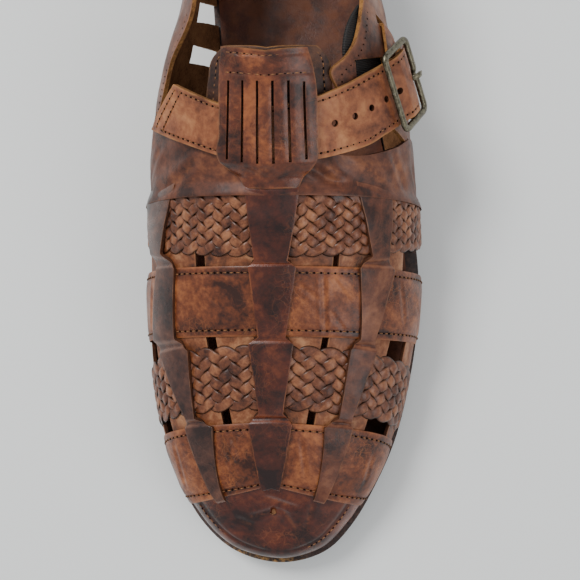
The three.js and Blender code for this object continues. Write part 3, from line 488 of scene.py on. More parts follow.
stack_edge = rim_finish("heel lifts", srgb(34, 22, 17), srgb(84, 58, 42), srgb(120, 84, 50), NO_TOE_RUB)
for k in range(HEEL_LIFTS):
    margins = [OUTSOLE_MARGIN - HEEL_TAPER * (1 - (k + end) / HEEL_LIFTS) for end in (1, 0)]
    finish = sole_rubber if k == 0 else stack_edge
    heel_lift = plate(f"heel_lift_{k + 1}", [finish, finish], lift_height(k + 1), lift_height(k), *margins,
                      start=HEEL_FRONT, size=(40, 20), edge=0.35 * mm)
    fit(heel_lift, "heel_stack", "heel")

# Strap sheets
# Five long tongues of thin leather run along the foot under the cross bands, slit from one vamp.
# Orange-brown and dull where they show between the bands, because the burnish never reached them.
STRAP_WALL = 1.5 * mm
SHEET_LIFT = STRAP_WALL + 0.6 * mm
JOIN_DEPTH = 0.4 * mm
# The leather rises and falls about once in this length.
WAVE_LENGTH = 14 * mm
# No sheet runs past these places, which lie out of sight under the fourth band and the vamp panel.
SHEET_ENDS = {"toe": 0.109, "heel": 0.478}
STRAP_SHEETS = {
    "centre": table("u left right", [
        [0.505, -0.300, 0.260], [0.400, -0.280, 0.245], [0.304, -0.235, 0.205],
        [0.205, -0.190, 0.165], [0.096, -0.150, 0.140]]),
    "medial": table("u left right", [
        [0.505, -0.700, -0.340], [0.400, -0.680, -0.325], [0.304, -0.650, -0.280],
        [0.205, -0.620, -0.235], [0.096, -0.560, -0.200]]),
    "lateral": table("u left right", [
        [0.505, 0.280, 0.600], [0.400, 0.265, 0.595], [0.304, 0.230, 0.545],
        [0.205, 0.200, 0.495], [0.096, 0.180, 0.450]]),
    "medial_side": table("u left right", [
        [0.350, -0.960, -0.830], [0.304, -0.980, -0.820], [0.205, -1.000, -0.760], [0.096, -1.000, -0.760]]),
    "lateral_side": table("u left right", [
        [0.350, 0.720, 0.900], [0.304, 0.680, 0.900], [0.205, 0.705, 0.940], [0.096, 0.760, 1.000]]),
}


def hump(gap, width):
    """A soft rise of height 1 where the gap is nought."""
    return np.exp(-(gap / width) ** 2)


def uneven(points, size, depth, seed):
    """The slow rise and fall of handled leather."""
    shift = Vector((seed, 2 * seed, -seed))
    return depth * np.array([noise.noise(Vector(p) / size + shift) for p in points])


def press(points, lines, lift):
    """Creases pressed in along listed lines. Each line has two places on the last, a depth and a width in mm.
    Gives the sink of each point and how far it is rubbed pale."""
    sink, pale = np.zeros(len(points)), np.zeros(len(points))
    for u0, v0, u1, v1, depth, width in lines:
        a, b = lifted([u0, u1], [v0, v1], lift)
        run = b - a
        share = (points - a) @ run / (run @ run)
        gap = np.linalg.norm(points - a - np.clip(share, 0, 1)[:, None] * run, axis=1)
        taper = np.clip(np.minimum(share, 1 - share) * 4 + 0.15, 0, 1)
        trough = hump(gap, width * mm) * taper
        shoulder = hump(gap - 1.9 * width * mm, 0.9 * width * mm) * taper
        sink += depth * mm * (trough - 0.45 * shoulder)
        pale = np.maximum(pale, np.clip(1.4 * trough - 0.5, 0, 1))
    return sink, pale


def turn_out(form, out):
    """Turns all faces over if they look against these directions."""
    form.normal_update()
    facing = np.array([c.normal for c in form.verts])
    if (facing * out).sum() < 0:
        bmesh.ops.reverse_faces(form, faces=form.faces[:])


def thicken(piece, wall):
    """Gives a sheet its wall, inwards from the grain side. Its back and its cut edge are other finishes."""
    thickness = piece.modifiers.new("wall", "SOLIDIFY")
    thickness.thickness, thickness.offset = wall, -1
    thickness.material_offset, thickness.material_offset_rim = 1, 2


def lay(name, size, place, wall, finishes, cut_edges=(1, 1, 1, 1), creases=(), roll=0.3 * mm, wave=0.25 * mm,
        seed=1.0, folded=False):
    """Cuts a piece of leather as a grid and lays it on the last with its grain side out.
    place(s, t) gives u, v and the lift of the grain side, and may give tone and painted shade."""
    rows, columns = size
    form = bmesh.new()
    bmesh.ops.create_grid(form, x_segments=columns, y_segments=rows, size=0.5)
    corners = np.array([c.co for c in form.verts])
    s, t = corners[:, 1] + 0.5, corners[:, 0] + 0.5
    spot = place(s, t)
    flat = lifted(spot["u"], spot["v"], spot["lift"])
    lift = np.mean(np.broadcast_to(spot["lift"], s.shape))
    sink, pale = press(flat, creases, lift)
    lift_here = spot["lift"] - sink + uneven(flat, WAVE_LENGTH, wave, seed)
    points = lifted(spot["u"], spot["v"], lift_here)
    put(form, points)
    turn_out(form, outward(spot["u"], spot["v"]))
    piece = settle(form, name, finishes)
    order = np.lexsort((t, s))
    net = points[order].reshape(rows + 1, columns + 1, 3)
    down = np.zeros(net.shape[:2])
    across = np.zeros(net.shape[:2])
    down[1:] = np.cumsum(np.linalg.norm(np.diff(net, axis=0), axis=2), axis=0)
    across[:, 1:] = np.cumsum(np.linalg.norm(np.diff(net, axis=1), axis=2), axis=1)
    sides = down, down[-1] - down, across, across[:, -1:] - across
    edge = np.min([side if real else np.full_like(side, 1.0) for side, real in zip(sides, cut_edges)], axis=0)
    flat_mm = np.stack([across - across[:, -1:] / 2, down], -1) / mm
    back = np.argsort(order)
    values = {"edge": edge.ravel()[back] / mm, "crease": pale, "tone": spot.get("tone", 0.0) + 0 * s,
              "dirt": spot.get("dirt", 0.0) + 0 * s}
    for key, value in values.items():
        mark(piece.data, key, value)
    corner_of = np.zeros(len(piece.data.loops), int)
    piece.data.loops.foreach_get("vertex_index", corner_of)
    layer = piece.data.uv_layers.new(name="leather")
    layer.data.foreach_set("uv", flat_mm.reshape(-1, 2)[back][corner_of].ravel().astype(np.float32))
    if folded:
        form = bmesh.new()
        form.from_mesh(piece.data)
        bmesh.ops.remove_doubles(form, verts=form.verts[:], dist=2e-5)
        form.to_mesh(piece.data)
        form.free()
    thicken(piece, wall)
    if roll:
        round_edge(piece, "rolled edge", roll, 2, 55)
    return piece


def strip(edges, start, end, lift, tone=0.0):
    """The place function of a piece between the left and right edges that a table gives over u."""
    left, right = flowing(edges["u"], edges["left"]), flowing(edges["u"], edges["right"])

    def place(s, t):
        u = lerp(start, end, s)
        return {"u": u, "v": lerp(left(u), right(u), t), "lift": lift, "tone": tone}
    return place


strap_grain = leather("strap grain", [(54, 27, 14), (116, 65, 36), (162, 112, 76), (170, 116, 72)],
                      gloss=(0.4, 0.62), craze=0.3, coat=0.03, blotch=75.0)
tan_edge = raw_edge("raw tan edge", (74, 42, 20), (158, 110, 60))
brown_edge = raw_edge("stained edge", (34, 17, 9), (84, 46, 24))
flesh = raw_edge("flesh side", (84, 52, 32), (150, 106, 70), 0.8)
for seed, (name, rows) in enumerate(STRAP_SHEETS.items()):
    toe, heel = max(rows["u"][-1], SHEET_ENDS["toe"]), min(rows["u"][0], SHEET_ENDS["heel"])
    strap = lay(f"strap_sheet_{name}", (96, 24), strip(rows, toe, heel, SHEET_LIFT, tone=0.1), STRAP_WALL,
                [strap_grain, flesh, brown_edge], seed=seed + 1.0, wave=0.35 * mm)
    fit(strap, "upper_leather", "upper")

# Stitched bands
# The second and fourth cross bands: smooth leather turned over a stiffener, stitched along both
# edges, mottled by burnishing and crossed by pale crease lines. Their edges are rubbed orange-tan.
BAND_WALL = 2.0 * mm
BAND_LIFT = STRAP_WALL - JOIN_DEPTH
BAND_TOP = BAND_LIFT + BAND_WALL
STITCH_INSET = 2.3 * mm
STITCH_PITCH = 2.6 * mm
BANDS = table("heel toe heel_side toe_side", [
    [0.487, 0.404, 0.500, 0.426], [0.396, 0.308, 0.398, 0.308],
    [0.300, 0.212, 0.284, 0.198], [0.198, 0.102, 0.186, 0.102]])


def band_edge(k, side, v):
    """The heel or toe edge of a band. The bands fan out towards the sides of the foot."""
    ridge, outer = BANDS[side][k], BANDS[side + "_side"][k]
    return ridge + (outer - ridge) * np.minimum(1.6, (v / 0.7) ** 2)


def thread_finish(name, dark, light):
    """Waxed linen thread, twisted and dirty in the twist."""
    tree = Tree(name)
    twist = tree.noise(2600.0, 2.0)
    tree.feed(tree.shader, {"Base Color": tree.blend(tree.remap(twist, 0.35, 0.65), dark, light),
                            "Roughness": 0.7, "Normal": tree.bump(twist, 0.08 * mm, 0.6)})
    return tree.material


# Needle holes are painted: near-black discs laid on the leather stand in for the shade inside the holes.
def hole_shade_finish():
    tree = Tree("painted needle-hole shade")
    tree.feed(tree.shader, {"Base Color": tree.blend(tree.noise(900.0), srgb(8, 4, 3), srgb(26, 14, 9)),
                            "Roughness": 0.95, "Specular IOR Level": 0.1})
    return tree.material


thread = thread_finish("linen thread", srgb(84, 48, 23), srgb(150, 100, 54))
needle_hole_shade = hole_shade_finish()


def distances(points):
    """How far along a row of points each one lies."""
    return np.r_[0, np.cumsum(np.linalg.norm(np.diff(points, axis=0), axis=1))]


def sew(name, route, pitch=STITCH_PITCH, length=1.55 * mm, gauge=0.52 * mm, hole=0.95 * mm, threaded=True):
    """A row of stitches along a route of points and outward directions: a bead of thread between holes.
    Where the thread lies sunk out of sight, only the needle holes are made. Each hole is a flat near-black
    disc laid on the leather, painted shade in place of a real hole."""
    points, facing = route
    run = distances(points)
    count = max(2, int(round(run[-1] / pitch)))
    form = bmesh.new()
    for i in range(2 * count - 1):
        at = (i / 2 + 0.5) / count * run[-1]
        centre = Vector([np.interp(at, run, points[:, k]) for k in range(3)])
        ahead = Vector([np.interp(min(at + 0.5 * mm, run[-1]), run, points[:, k]) for k in range(3)])
        behind = Vector([np.interp(max(at - 0.5 * mm, 0), run, points[:, k]) for k in range(3)])
        up = Vector([np.interp(at, run, facing[:, k]) for k in range(3)]).normalized()
        forward = (ahead - behind).normalized()
        side = up.cross(forward).normalized()
        turn = Matrix((forward, side, forward.cross(side))).transposed().to_4x4()
        is_thread = i % 2 == 0
        if is_thread and not threaded:
            continue
        size = (length / 2, gauge / 2, gauge * 0.42) if is_thread else (hole * 0.5, hole * 0.45, hole * 0.16)
        shape = Matrix.Translation(centre) @ turn @ Matrix.Diagonal((*size, 1))
        made = bmesh.ops.create_uvsphere(form, u_segments=6, v_segments=4, radius=1, matrix=shape)["verts"]
        for face in {face for corner in made for face in corner.link_faces}:
            face.material_index = 0 if is_thread else 1
    fit(settle(form, name, [thread, needle_hole_shade]), "upper_leather")


def route(u, v, lift):
    """A row's points just over the leather, and its outward directions."""
    return lifted(u, v, lift), outward(u, v)


def smooth(x):
    x = np.clip(x, 0, 1)
    return x * x * (3 - 2 * x)


BAND_CREASES = {
    1: [(0.386, -0.62, 0.318, -0.66, 0.30, 0.9), (0.380, -0.56, 0.340, -0.52, 0.22, 0.7),
        (0.372, -0.30, 0.345, -0.20, 0.25, 0.8), (0.350, -0.35, 0.315, -0.25, 0.22, 0.6),
        (0.392, 0.20, 0.312, 0.215, 0.40, 0.9), (0.390, 0.22, 0.345, 0.33, 0.30, 0.8),
        (0.345, 0.215, 0.316, 0.30, 0.28, 0.7), (0.375, 0.10, 0.350, 0.205, 0.25, 0.7),
        (0.385, 0.56, 0.330, 0.62, 0.25, 0.9), (0.360, 0.70, 0.335, 0.82, 0.25, 1.0)],
    3: [(0.188, -0.25, 0.125, -0.20, 0.5, 1.0), (0.185, -0.20, 0.150, -0.15, 0.45, 0.8),
        (0.170, -0.27, 0.140, -0.17, 0.45, 0.8), (0.150, -0.26, 0.115, -0.22, 0.45, 0.8),
        (0.130, -0.24, 0.120, -0.12, 0.40, 0.7), (0.192, -0.14, 0.165, -0.21, 0.35, 0.7),
        (0.180, 0.14, 0.125, 0.20, 0.25, 0.8), (0.165, 0.60, 0.125, 0.66, 0.25, 0.9),
        (0.175, -0.60, 0.120, -0.66, 0.30, 1.0)],
}
band_grain = leather("band grain", [(46, 19, 9), (104, 52, 26), (152, 90, 50), (170, 102, 54)],
                     gloss=(0.32, 0.52), craze=0.6, worn_edge=1.0, rub=0.45, coat=0.08, blotch=85.0)
for k, lines in BAND_CREASES.items():

    def band_place(s, t, k=k):
        v = lerp(-1, 1, t)
        toe, heel = band_edge(k, "toe", v), band_edge(k, "heel", v)
        width = (heel - toe) * LAST_LENGTH
        from_edge = np.minimum(s, 1 - s) * width
        groove = hump(from_edge - STITCH_INSET, 0.7 * mm)
        crown = 0.35 * mm * smooth(from_edge / (6 * mm)) - 0.22 * mm * groove
        drop = 0.3 * mm * smooth(1 - from_edge / (1.2 * mm))
        # The tone is darker along the stitch grooves: painted shade in the grooves. The sine is the leather's
        # own uneven tone.
        return {"u": lerp(toe, heel, s), "v": v, "lift": BAND_TOP - 0.15 * mm + crown - drop,
                "tone": 0.25 * np.sin(9 * v) - 0.35 * groove}

    band = lay(f"band_{k + 1}_stitched", (28, 260), band_place, BAND_WALL, [band_grain, flesh, brown_edge],
               cut_edges=(1, 1, 0, 0), creases=lines, seed=11.0 + k)
    fit(band, "upper_leather", "upper")
    for side, sign in (("heel", -1), ("toe", 1)):
        v = np.linspace(-0.93, 0.93, 240)
        u = band_edge(k, side, v) + sign * STITCH_INSET / LAST_LENGTH
        sew(f"band_{k + 1}_stitches_{side}", route(u, v, BAND_TOP + 0.02 * mm))

# Braided bands
# The first and third cross bands: nine strands plaited flat, over one and under one, so that their
# edges are scalloped. Painted shade darkens them between the strands and where each dips under the next, and
# their shiny tops are painted lighter.
BRAID_STRANDS = 9
BRAID_STEPS = {0: 6.8 * mm, 2: 7.7 * mm}
STRAND_SHARE = 0.53
STRAND_WALL = 1.0 * mm
BRAID_LIFT = BAND_TOP - 0.95 * mm


def plait(name, place, length, width, strands, step, strand_width, centre, finishes, wave=0.55 * mm):
    """A flat plait. place(a, b) gives u and v for a share along it and a share across it."""
    form = bmesh.new()
    per_crossing, across = 5, 6
    crossing = step / 2
    amplitude = width / 2 - strand_width * 0.42
    rise = 2 * amplitude / strands
    steps = int(round(length / crossing * per_crossing))
    points, edges, tones, painted_shades = [], [], [], []
    for k in range(strands):
        bmesh.ops.create_grid(form, x_segments=across, y_segments=steps, size=0.5)
        x = np.linspace(0, length, steps + 1)
        turns = (x + k * step) / crossing
        m = turns % strands
        upward = (turns // strands) % 2 == 0
        corner = np.minimum(m, strands - m)
        soft = 0.7
        bent = np.where(corner < soft, corner**2 / (2 * soft) + soft / 2, corner)
        m_soft = np.where(m < strands / 2, bent, strands - bent)
        y = (m_soft * rise - amplitude) * np.where(upward, 1, -1)
        height = -np.cos(math.pi * m) * wave * (corner > 0.5)
        path = np.column_stack([x, y])
        run = np.gradient(path, axis=0)
        run /= np.linalg.norm(run, axis=1, keepdims=True)
        sideways = np.column_stack([-run[:, 1], run[:, 0]])
        for q in np.linspace(-0.5, 0.5, across + 1):
            flat = path + sideways * q * strand_width
            a = np.clip(flat[:, 0] / length, 0, 1)
            b = np.clip(flat[:, 1] / width + 0.5, -0.03, 1.03)
            u, v = place(a, b)
            crown = -0.42 * mm * (2 * q) ** 4 - 0.16 * mm * q * np.where(upward, 1, -1)
            points.append(lifted(u, v, centre + height + crown + STRAND_WALL / 2))
            edges.append(np.full(steps + 1, (0.5 - abs(q)) * strand_width / mm))
            patch = np.sin(2.1 * np.floor(turns + 0.5) + 3.3 * k)
            # Tone: lighter where the strand rides over and darker where it dips under, which is painted
            # highlight and shade; the patch term is each cell's own uneven tone.
            tones.append(0.35 * height / wave + 0.35 * patch - 0.1)
            # Painted shade: dark along each strand's edges and where it dips under its neighbour.
            painted_shades.append(np.clip(0.95 * (2 * abs(q)) ** 6 + 0.45 * smooth(-height / wave), 0, 0.95))
    corners = np.array([c.co for c in form.verts])
    grid_of = np.arange(len(corners)) // ((steps + 1) * (across + 1))
    column = grid_of * (across + 1) + np.round((corners[:, 0] + 0.5) * across).astype(int)
    row = np.round((corners[:, 1] + 0.5) * steps).astype(int)
    laid = np.array(points)[column, row]
    put(form, laid)
    turn_out(form, laid - laid.mean(0))
    piece = settle(form, name, finishes)
    for key, value in (("edge", edges), ("tone", tones), ("dirt", painted_shades)):
        mark(piece.data, key, np.array(value)[column, row])
    thicken(piece, STRAND_WALL)
    fit(piece, "upper_leather", "upper")


braid_grain = leather("braid grain", [(48, 21, 11), (104, 58, 35), (154, 100, 66), (164, 112, 74)],
                      gloss=(0.3, 0.5), craze=0.1, rub=0.1, coat=0.1, blotch=120.0, contrast=0.7)
for k in BRAID_STEPS:
    middle_v = np.linspace(-1, 1, 80)
    toe_u, heel_u = (band_edge(k, side, middle_v) for side in ("toe", "heel"))
    run = distances(lifted((toe_u + heel_u) / 2, middle_v, BRAID_LIFT))
    width = ((heel_u - toe_u) * LAST_LENGTH).mean()

    def braid_place(a, b, k=k, run=run, middle_v=middle_v):
        v = np.interp(a * run[-1], run, middle_v)
        return lerp(band_edge(k, "toe", v), band_edge(k, "heel", v), b), v

    plait(f"band_{k + 1}_plait", braid_place, run[-1], width, BRAID_STRANDS, BRAID_STEPS[k],
          STRAND_SHARE * BRAID_STEPS[k], BRAID_LIFT, [braid_grain, brown_edge, brown_edge])

# Toe cap
# One piece of dark, glossy leather moulded over the toe, tucked under the fourth band and seamed at
# each side. Fine pale craze lines cross it where the toes have bent it.
CAP_WALL = 2.0 * mm
CAP_EDGE = 0.112
CAP_SEAM = 0.62
cap_grain = leather("cap grain", [(32, 10, 5), (74, 29, 15), (112, 54, 29), (142, 82, 46)],
                    gloss=(0.24, 0.44), craze=0.5, worn_edge=0.6, coat=0.2, blotch=60.0)


def cap_place(s, t):
    u, v = CAP_EDGE * s, lerp(-1, 1, t)
    seam = hump(np.abs(v) - CAP_SEAM, 1 / 38)
    # The side seams are darkened with painted shade where the leather sinks into them.
    return {"u": u, "v": v, "lift": CAP_WALL - 0.45 * mm * seam * smooth(s * 3), "dirt": 0.5 * seam,
            "tone": 0.2 * np.cos(7 * v) - 0.15}


CAP_CREASES = [
    (0.085, -0.10, 0.075, 0.25, 0.35, 1.2), (0.060, -0.30, 0.052, 0.10, 0.3, 1.2),
    (0.095, 0.30, 0.045, 0.42, 0.3, 1.0), (0.070, -0.40, 0.040, -0.30, 0.3, 1.2),
    (0.050, 0.10, 0.035, 0.40, 0.25, 1.0)]
cap = lay("toe_cap", (52, 150), cap_place, CAP_WALL - JOIN_DEPTH, [cap_grain, flesh, brown_edge],
          cut_edges=(0, 1, 0, 0), creases=CAP_CREASES, seed=21.0, wave=0.35 * mm, folded=True)
fit(cap, "upper_leather", "upper")
for name, sign in (("medial", -1), ("lateral", 1)):
    seam_u = np.linspace(0.100, 0.030, 40)
    sew(f"cap_stitches_{name}", route(seam_u, sign * np.full(40, 0.66), CAP_WALL - 0.1 * mm), pitch=2.3 * mm)

# Vamp panel
# The smooth panel behind the bands, pulled tight from the instep down to the sole on both sides. Soft
# folds fan out from the flap's root, and its toe edge laps over the first braid between the straps.
PANEL_WALL = 1.9 * mm
VAMP_PANEL = table("v toe heel", [
    [-1.00, 0.488, 0.566], [-0.80, 0.487, 0.576], [-0.68, 0.486, 0.582], [-0.475, 0.485, 0.572],
    [-0.20, 0.484, 0.548], [0.00, 0.484, 0.540], [0.20, 0.484, 0.534], [0.38, 0.485, 0.534],
    [0.56, 0.486, 0.552], [0.71, 0.487, 0.572], [0.80, 0.488, 0.566], [1.00, 0.488, 0.556]])
panel_toe = flowing(VAMP_PANEL["v"], VAMP_PANEL["toe"])
panel_heel = flowing(VAMP_PANEL["v"], VAMP_PANEL["heel"])


def panel_place(s, t):
    v = lerp(-1, 1, t)
    u = lerp(panel_toe(v), panel_heel(v), s)
    over_braid = smooth(1 - (u - panel_toe(v)) * LAST_LENGTH / (5 * mm)) * smooth((0.93 - np.abs(v)) * 8)
    # Tone: the lip that laps over the braid is painted darker, a painted shade along the toe edge.
    return {"u": u, "v": v, "lift": PANEL_WALL + 1.8 * mm * over_braid, "tone": -0.15 - 0.2 * over_braid}


PANEL_CREASES = [
    (0.540, -0.22, 0.500, -0.62, -0.9, 3.0), (0.530, -0.30, 0.492, -0.50, 0.5, 1.6),
    (0.556, -0.52, 0.505, -0.72, 0.4, 1.4), (0.520, 0.14, 0.495, 0.30, 0.7, 1.5),
    (0.530, 0.22, 0.500, 0.27, -0.6, 1.8), (0.535, 0.30, 0.500, 0.52, -0.6, 2.6),
    (0.548, 0.52, 0.500, 0.62, 0.4, 1.6), (0.545, 0.68, 0.500, 0.80, 0.4, 1.6),
    (0.560, -0.70, 0.500, -0.86, 0.5, 1.8)]
panel_grain = leather("panel grain", [(46, 22, 14), (92, 49, 31), (136, 82, 50), (150, 90, 50)],
                      gloss=(0.38, 0.58), craze=0.3, worn_edge=0.5, rub=0.2, coat=0.04, blotch=60.0)
panel = lay("vamp_panel", (44, 250), panel_place, PANEL_WALL - JOIN_DEPTH, [panel_grain, flesh, brown_edge],
            cut_edges=(1, 1, 0, 0), creases=PANEL_CREASES, seed=31.0, wave=0.5 * mm)
fit(panel, "upper_leather", "upper")

# Strap overlays
# The middle of each slit strap passes over the bands: tapered pieces drawn tight, dark and glossy from
# wear, bent down between the bands and painted lighter at the bends: partly burnish rubbed through to
# orange-tan, partly a painted highlight along the fold.
OVERLAY_WALL = 1.7 * mm
OVER_TOP = BAND_TOP - JOIN_DEPTH + OVERLAY_WALL
OVER_LAND = 0.009
OVERLAY_ENDS = {"toe": 0.098, "heel": 0.512}
OVERLAY_ROOT = 0.478
OVERLAYS = {
    "centre": table("heel_left heel_right toe_left toe_right", [
        [-0.095, 0.120, -0.055, 0.070], [-0.080, 0.100, -0.045, 0.060],
        [-0.085, 0.090, -0.050, 0.055], [-0.100, 0.095, -0.065, 0.055]]),
    "medial": table("heel_left heel_right toe_left toe_right", [
        [-0.680, -0.440, -0.610, -0.515], [-0.555, -0.425, -0.615, -0.445],
        [-0.570, -0.370, -0.440, -0.380], [-0.455, -0.280, -0.410, -0.335]]),
    "lateral": table("heel_left heel_right toe_left toe_right", [
        [0.350, 0.510, 0.400, 0.485], [0.345, 0.515, 0.365, 0.435],
        [0.325, 0.455, 0.310, 0.380], [0.245, 0.395, 0.290, 0.375]]),
}
OVERLAY_GRAINS = {
    "centre": leather("centre strap grain", [(30, 10, 5), (68, 27, 14), (112, 54, 28), (150, 84, 40)],
                      gloss=(0.24, 0.44), craze=0.35, worn_edge=0.5, coat=0.2, blotch=60.0),
    "medial": leather("inner strap grain", [(36, 19, 14), (72, 42, 31), (104, 66, 48), (140, 96, 66)],
                      gloss=(0.22, 0.42), craze=0.15, worn_edge=0.5, coat=0.25, blotch=60.0),
    "lateral": leather("outer strap grain", [(42, 19, 11), (88, 46, 28), (124, 76, 50), (142, 92, 56)],
                       gloss=(0.34, 0.54), craze=0.2, worn_edge=0.5, coat=0.08, blotch=60.0),
}
for seed, (name, edges) in enumerate(OVERLAYS.items()):
    knots = []
    for k in range(4):
        for side in ("heel", "toe"):
            left_v, right_v = edges[side + "_left"][k], edges[side + "_right"][k]
            at_u = band_edge(k, side, (edges["heel_left"][k] + edges["heel_right"][k]) / 2)
            knots.append((at_u, left_v, right_v))
    knots.append((OVERLAY_ENDS["heel"], *knots[0][1:]))
    knots.append((OVERLAY_ENDS["toe"], *knots[7][1:]))
    knots = np.array(sorted(knots))

    def overlay_place(s, t, knots=knots):
        u = lerp(knots[0, 0], knots[-1, 0], s)
        v = lerp(np.interp(u, knots[:, 0], knots[:, 1]), np.interp(u, knots[:, 0], knots[:, 2]), t)
        up = np.zeros_like(u)
        for k in range(4):
            heel = band_edge(k, "heel", v)
            toe = band_edge(k, "toe", v)
            ramp = OVER_LAND * (0.75 if k else 2.6)
            up = np.maximum(up, smooth((u - toe) / OVER_LAND + 1) * smooth((heel - u) / ramp + 1))
        root = smooth((u - OVERLAY_ROOT) / 0.030)
        low = lerp(OVER_TOP - 1.25 * mm, PANEL_WALL - 0.4 * mm, root)
        fold = np.clip(4 * up * (1 - up), 0, 1)
        top = OVER_TOP - 0.9 * mm * smooth((u - 0.452) / 0.030)
        # The tone is lighter at the bends: partly rubbed-through burnish, partly a painted highlight along
        # the fold.
        return {"u": u, "v": v, "lift": lerp(low, top, up * (1 - root)),
                "tone": 0.9 * fold * (up > 0.3) - 0.15}

    overlay = lay(f"strap_overlay_{name}", (320, 22), overlay_place, OVERLAY_WALL * 0.8,
                  [OVERLAY_GRAINS[name], flesh, brown_edge], seed=41.0 + seed, wave=0.35 * mm)
    fit(overlay, "upper_leather", "upper")

# Quarters
# Both quarters are one wall of leather round the heel, closed by a back seam, with a raw tan collar
# edge and a row of needle holes along it, drawn as dark discs of painted shade. Windows and the buckle tab's
# slot are punched through.
QUARTER_FRONT = {"medial": (0.535, 0.594), "lateral": (0.520, 0.606)}
COLLAR = {
    "medial": table("u v", [
        [0.594, 0.585], [0.630, 0.545], [0.653, 0.520], [0.673, 0.475], [0.700, 0.440], [0.730, 0.450],
        [0.780, 0.520], [0.850, 0.565], [0.920, 0.530], [1.000, 0.440]]),
    "lateral": table("u v", [
        [0.606, 0.300], [0.613, 0.288], [0.630, 0.276], [0.645, 0.335], [0.661, 0.385], [0.690, 0.442],
        [0.718, 0.483], [0.780, 0.540], [0.850, 0.565], [0.920, 0.530], [1.000, 0.440]]),
}
# From and to along u and v; the last number leans a window forwards or back as it runs along v.
QUARTER_WINDOWS = [
    (0.687, 0.710, -0.86, -1.03, 0.024),
    (0.738, 0.764, -0.86, -1.03, 0.032),
    (0.618, 0.644, 0.38, 0.55, 0.014)]
CUT_REACH = 4 * mm
TAB_SLOT = {"from": (0.703, 0.560), "to": (0.698, 0.720), "width": 2.6 * mm}
collar_line = {side: flowing(rows["u"], rows["v"]) for side, rows in COLLAR.items()}


def quarter_place(s, t):
    medial = s < 0.5
    round_share = np.abs(2 * s - 1)
    feather = np.where(medial, QUARTER_FRONT["medial"][0], QUARTER_FRONT["lateral"][0])
    collar = np.where(medial, QUARTER_FRONT["medial"][1], QUARTER_FRONT["lateral"][1])
    u = lerp(1, lerp(feather, collar, t), round_share)
    collar_u = lerp(1, collar, round_share)
    top = 1 - np.where(medial, collar_line["medial"](collar_u), collar_line["lateral"](collar_u))
    from_seam = np.abs(s - 0.5)
    # Painted shade darkens two narrow lines along both sides of the raised back seam.
    return {"u": u, "v": (1 - t * top) * np.where(medial, -1, 1),
            "lift": STRAP_WALL + 0.4 * mm * hump(from_seam, 1 / 260),
            "tone": 0.15 * np.sin(14 * s + 3 * t) - 0.1, "dirt": 0.6 * hump(from_seam - 0.004, 1 / 700)}


def punched(piece, cutters, finish, crossing=False):
    """Cuts holes through a piece's wall with closed blocks, which then go.
    Crossing is set where the wall or the blocks run through themselves."""
    form = bmesh.new()
    for cutter in cutters:
        bmesh.ops.recalc_face_normals(cutter, faces=cutter.faces[:])
        scratch = bpy.data.meshes.new("punch")
        cutter.to_mesh(scratch)
        form.from_mesh(scratch)
        cutter.free()
        bpy.data.meshes.remove(scratch)
    tool = settle(form, "punch", [finish])
    hole = piece.modifiers.new("holes", "BOOLEAN")
    hole.object, hole.operation, hole.solver = tool, "DIFFERENCE", "EXACT"
    hole.material_mode, hole.use_self = "TRANSFER", crossing
    graph = bpy.context.evaluated_depsgraph_get()
    piece.data = bpy.data.meshes.new_from_object(piece.evaluated_get(graph))
    piece.modifiers.clear()
    bpy.data.objects.remove(tool)
    piece.data.set_sharp_from_angle(angle=math.radians(45))


def block(place, low, high, rows=6, columns=6):
    """A closed block through a wall, between two lifts. place(s, t) gives u and v."""
    form, s, t, below = thick_grid(rows, columns)
    u, v = place(s, t)
    put(form, lifted(u, v, np.where(below, low, high)))
    bmesh.ops.recalc_face_normals(form, faces=form.faces[:])
    return form


quarter_grain = leather("quarter grain", [(52, 26, 16), (100, 56, 36), (142, 90, 58), (158, 104, 60)],
                        gloss=(0.38, 0.58), craze=0.2, worn_edge=1.3, rub=0.8, coat=0.04, blotch=60.0)
QUARTER_CREASES = [
    (0.60, -0.95, 0.62, -0.62, 0.4, 1.6), (0.66, -0.80, 0.70, -0.50, 0.3, 1.4),
    (0.70, 0.95, 0.75, 0.60, 0.35, 1.6), (0.62, 0.90, 0.60, 0.50, 0.35, 1.5),
    (0.86, -0.70, 0.94, -0.62, 0.35, 1.6), (0.86, 0.72, 0.95, 0.66, 0.35, 1.6)]
quarters = lay("quarters", (300, 54), quarter_place, STRAP_WALL, [quarter_grain, flesh, tan_edge],
               cut_edges=(1, 1, 0, 1), creases=QUARTER_CREASES, seed=51.0, wave=0.5 * mm, roll=0)
windows = [block(lambda s, t, w=w: (lerp(w[0], w[1], s) + w[4] * t, lerp(w[2], w[3], t)),
                 -CUT_REACH, STRAP_WALL + CUT_REACH)
           for w in QUARTER_WINDOWS]
slot_half = TAB_SLOT["width"] / 2 / LAST_LENGTH
windows.append(block(lambda s, t: (lerp(TAB_SLOT["from"][0], TAB_SLOT["to"][0], t) + slot_half * (2 * s - 1),
                                   lerp(TAB_SLOT["from"][1], TAB_SLOT["to"][1], t)),
                     -CUT_REACH, STRAP_WALL + CUT_REACH))
punched(quarters, windows, tan_edge)
fit(quarters, "upper_leather", "upper")
collar_s = np.linspace(0.003, 0.997, 500)
collar_spot = quarter_place(collar_s, np.full(500, 0.945))
sew("collar_stitches", route(collar_spot["u"], collar_spot["v"], STRAP_WALL), pitch=2.5 * mm, hole=0.7 * mm,
    threaded=False)
for name, front_s in (("medial", 0.012), ("lateral", 0.988)):
    front_t = np.linspace(0.06, 0.92, 120)
    front = quarter_place(np.full(120, front_s), front_t)
    sew(f"quarter_front_stitches_{name}", route(front["u"], front["v"], STRAP_WALL))

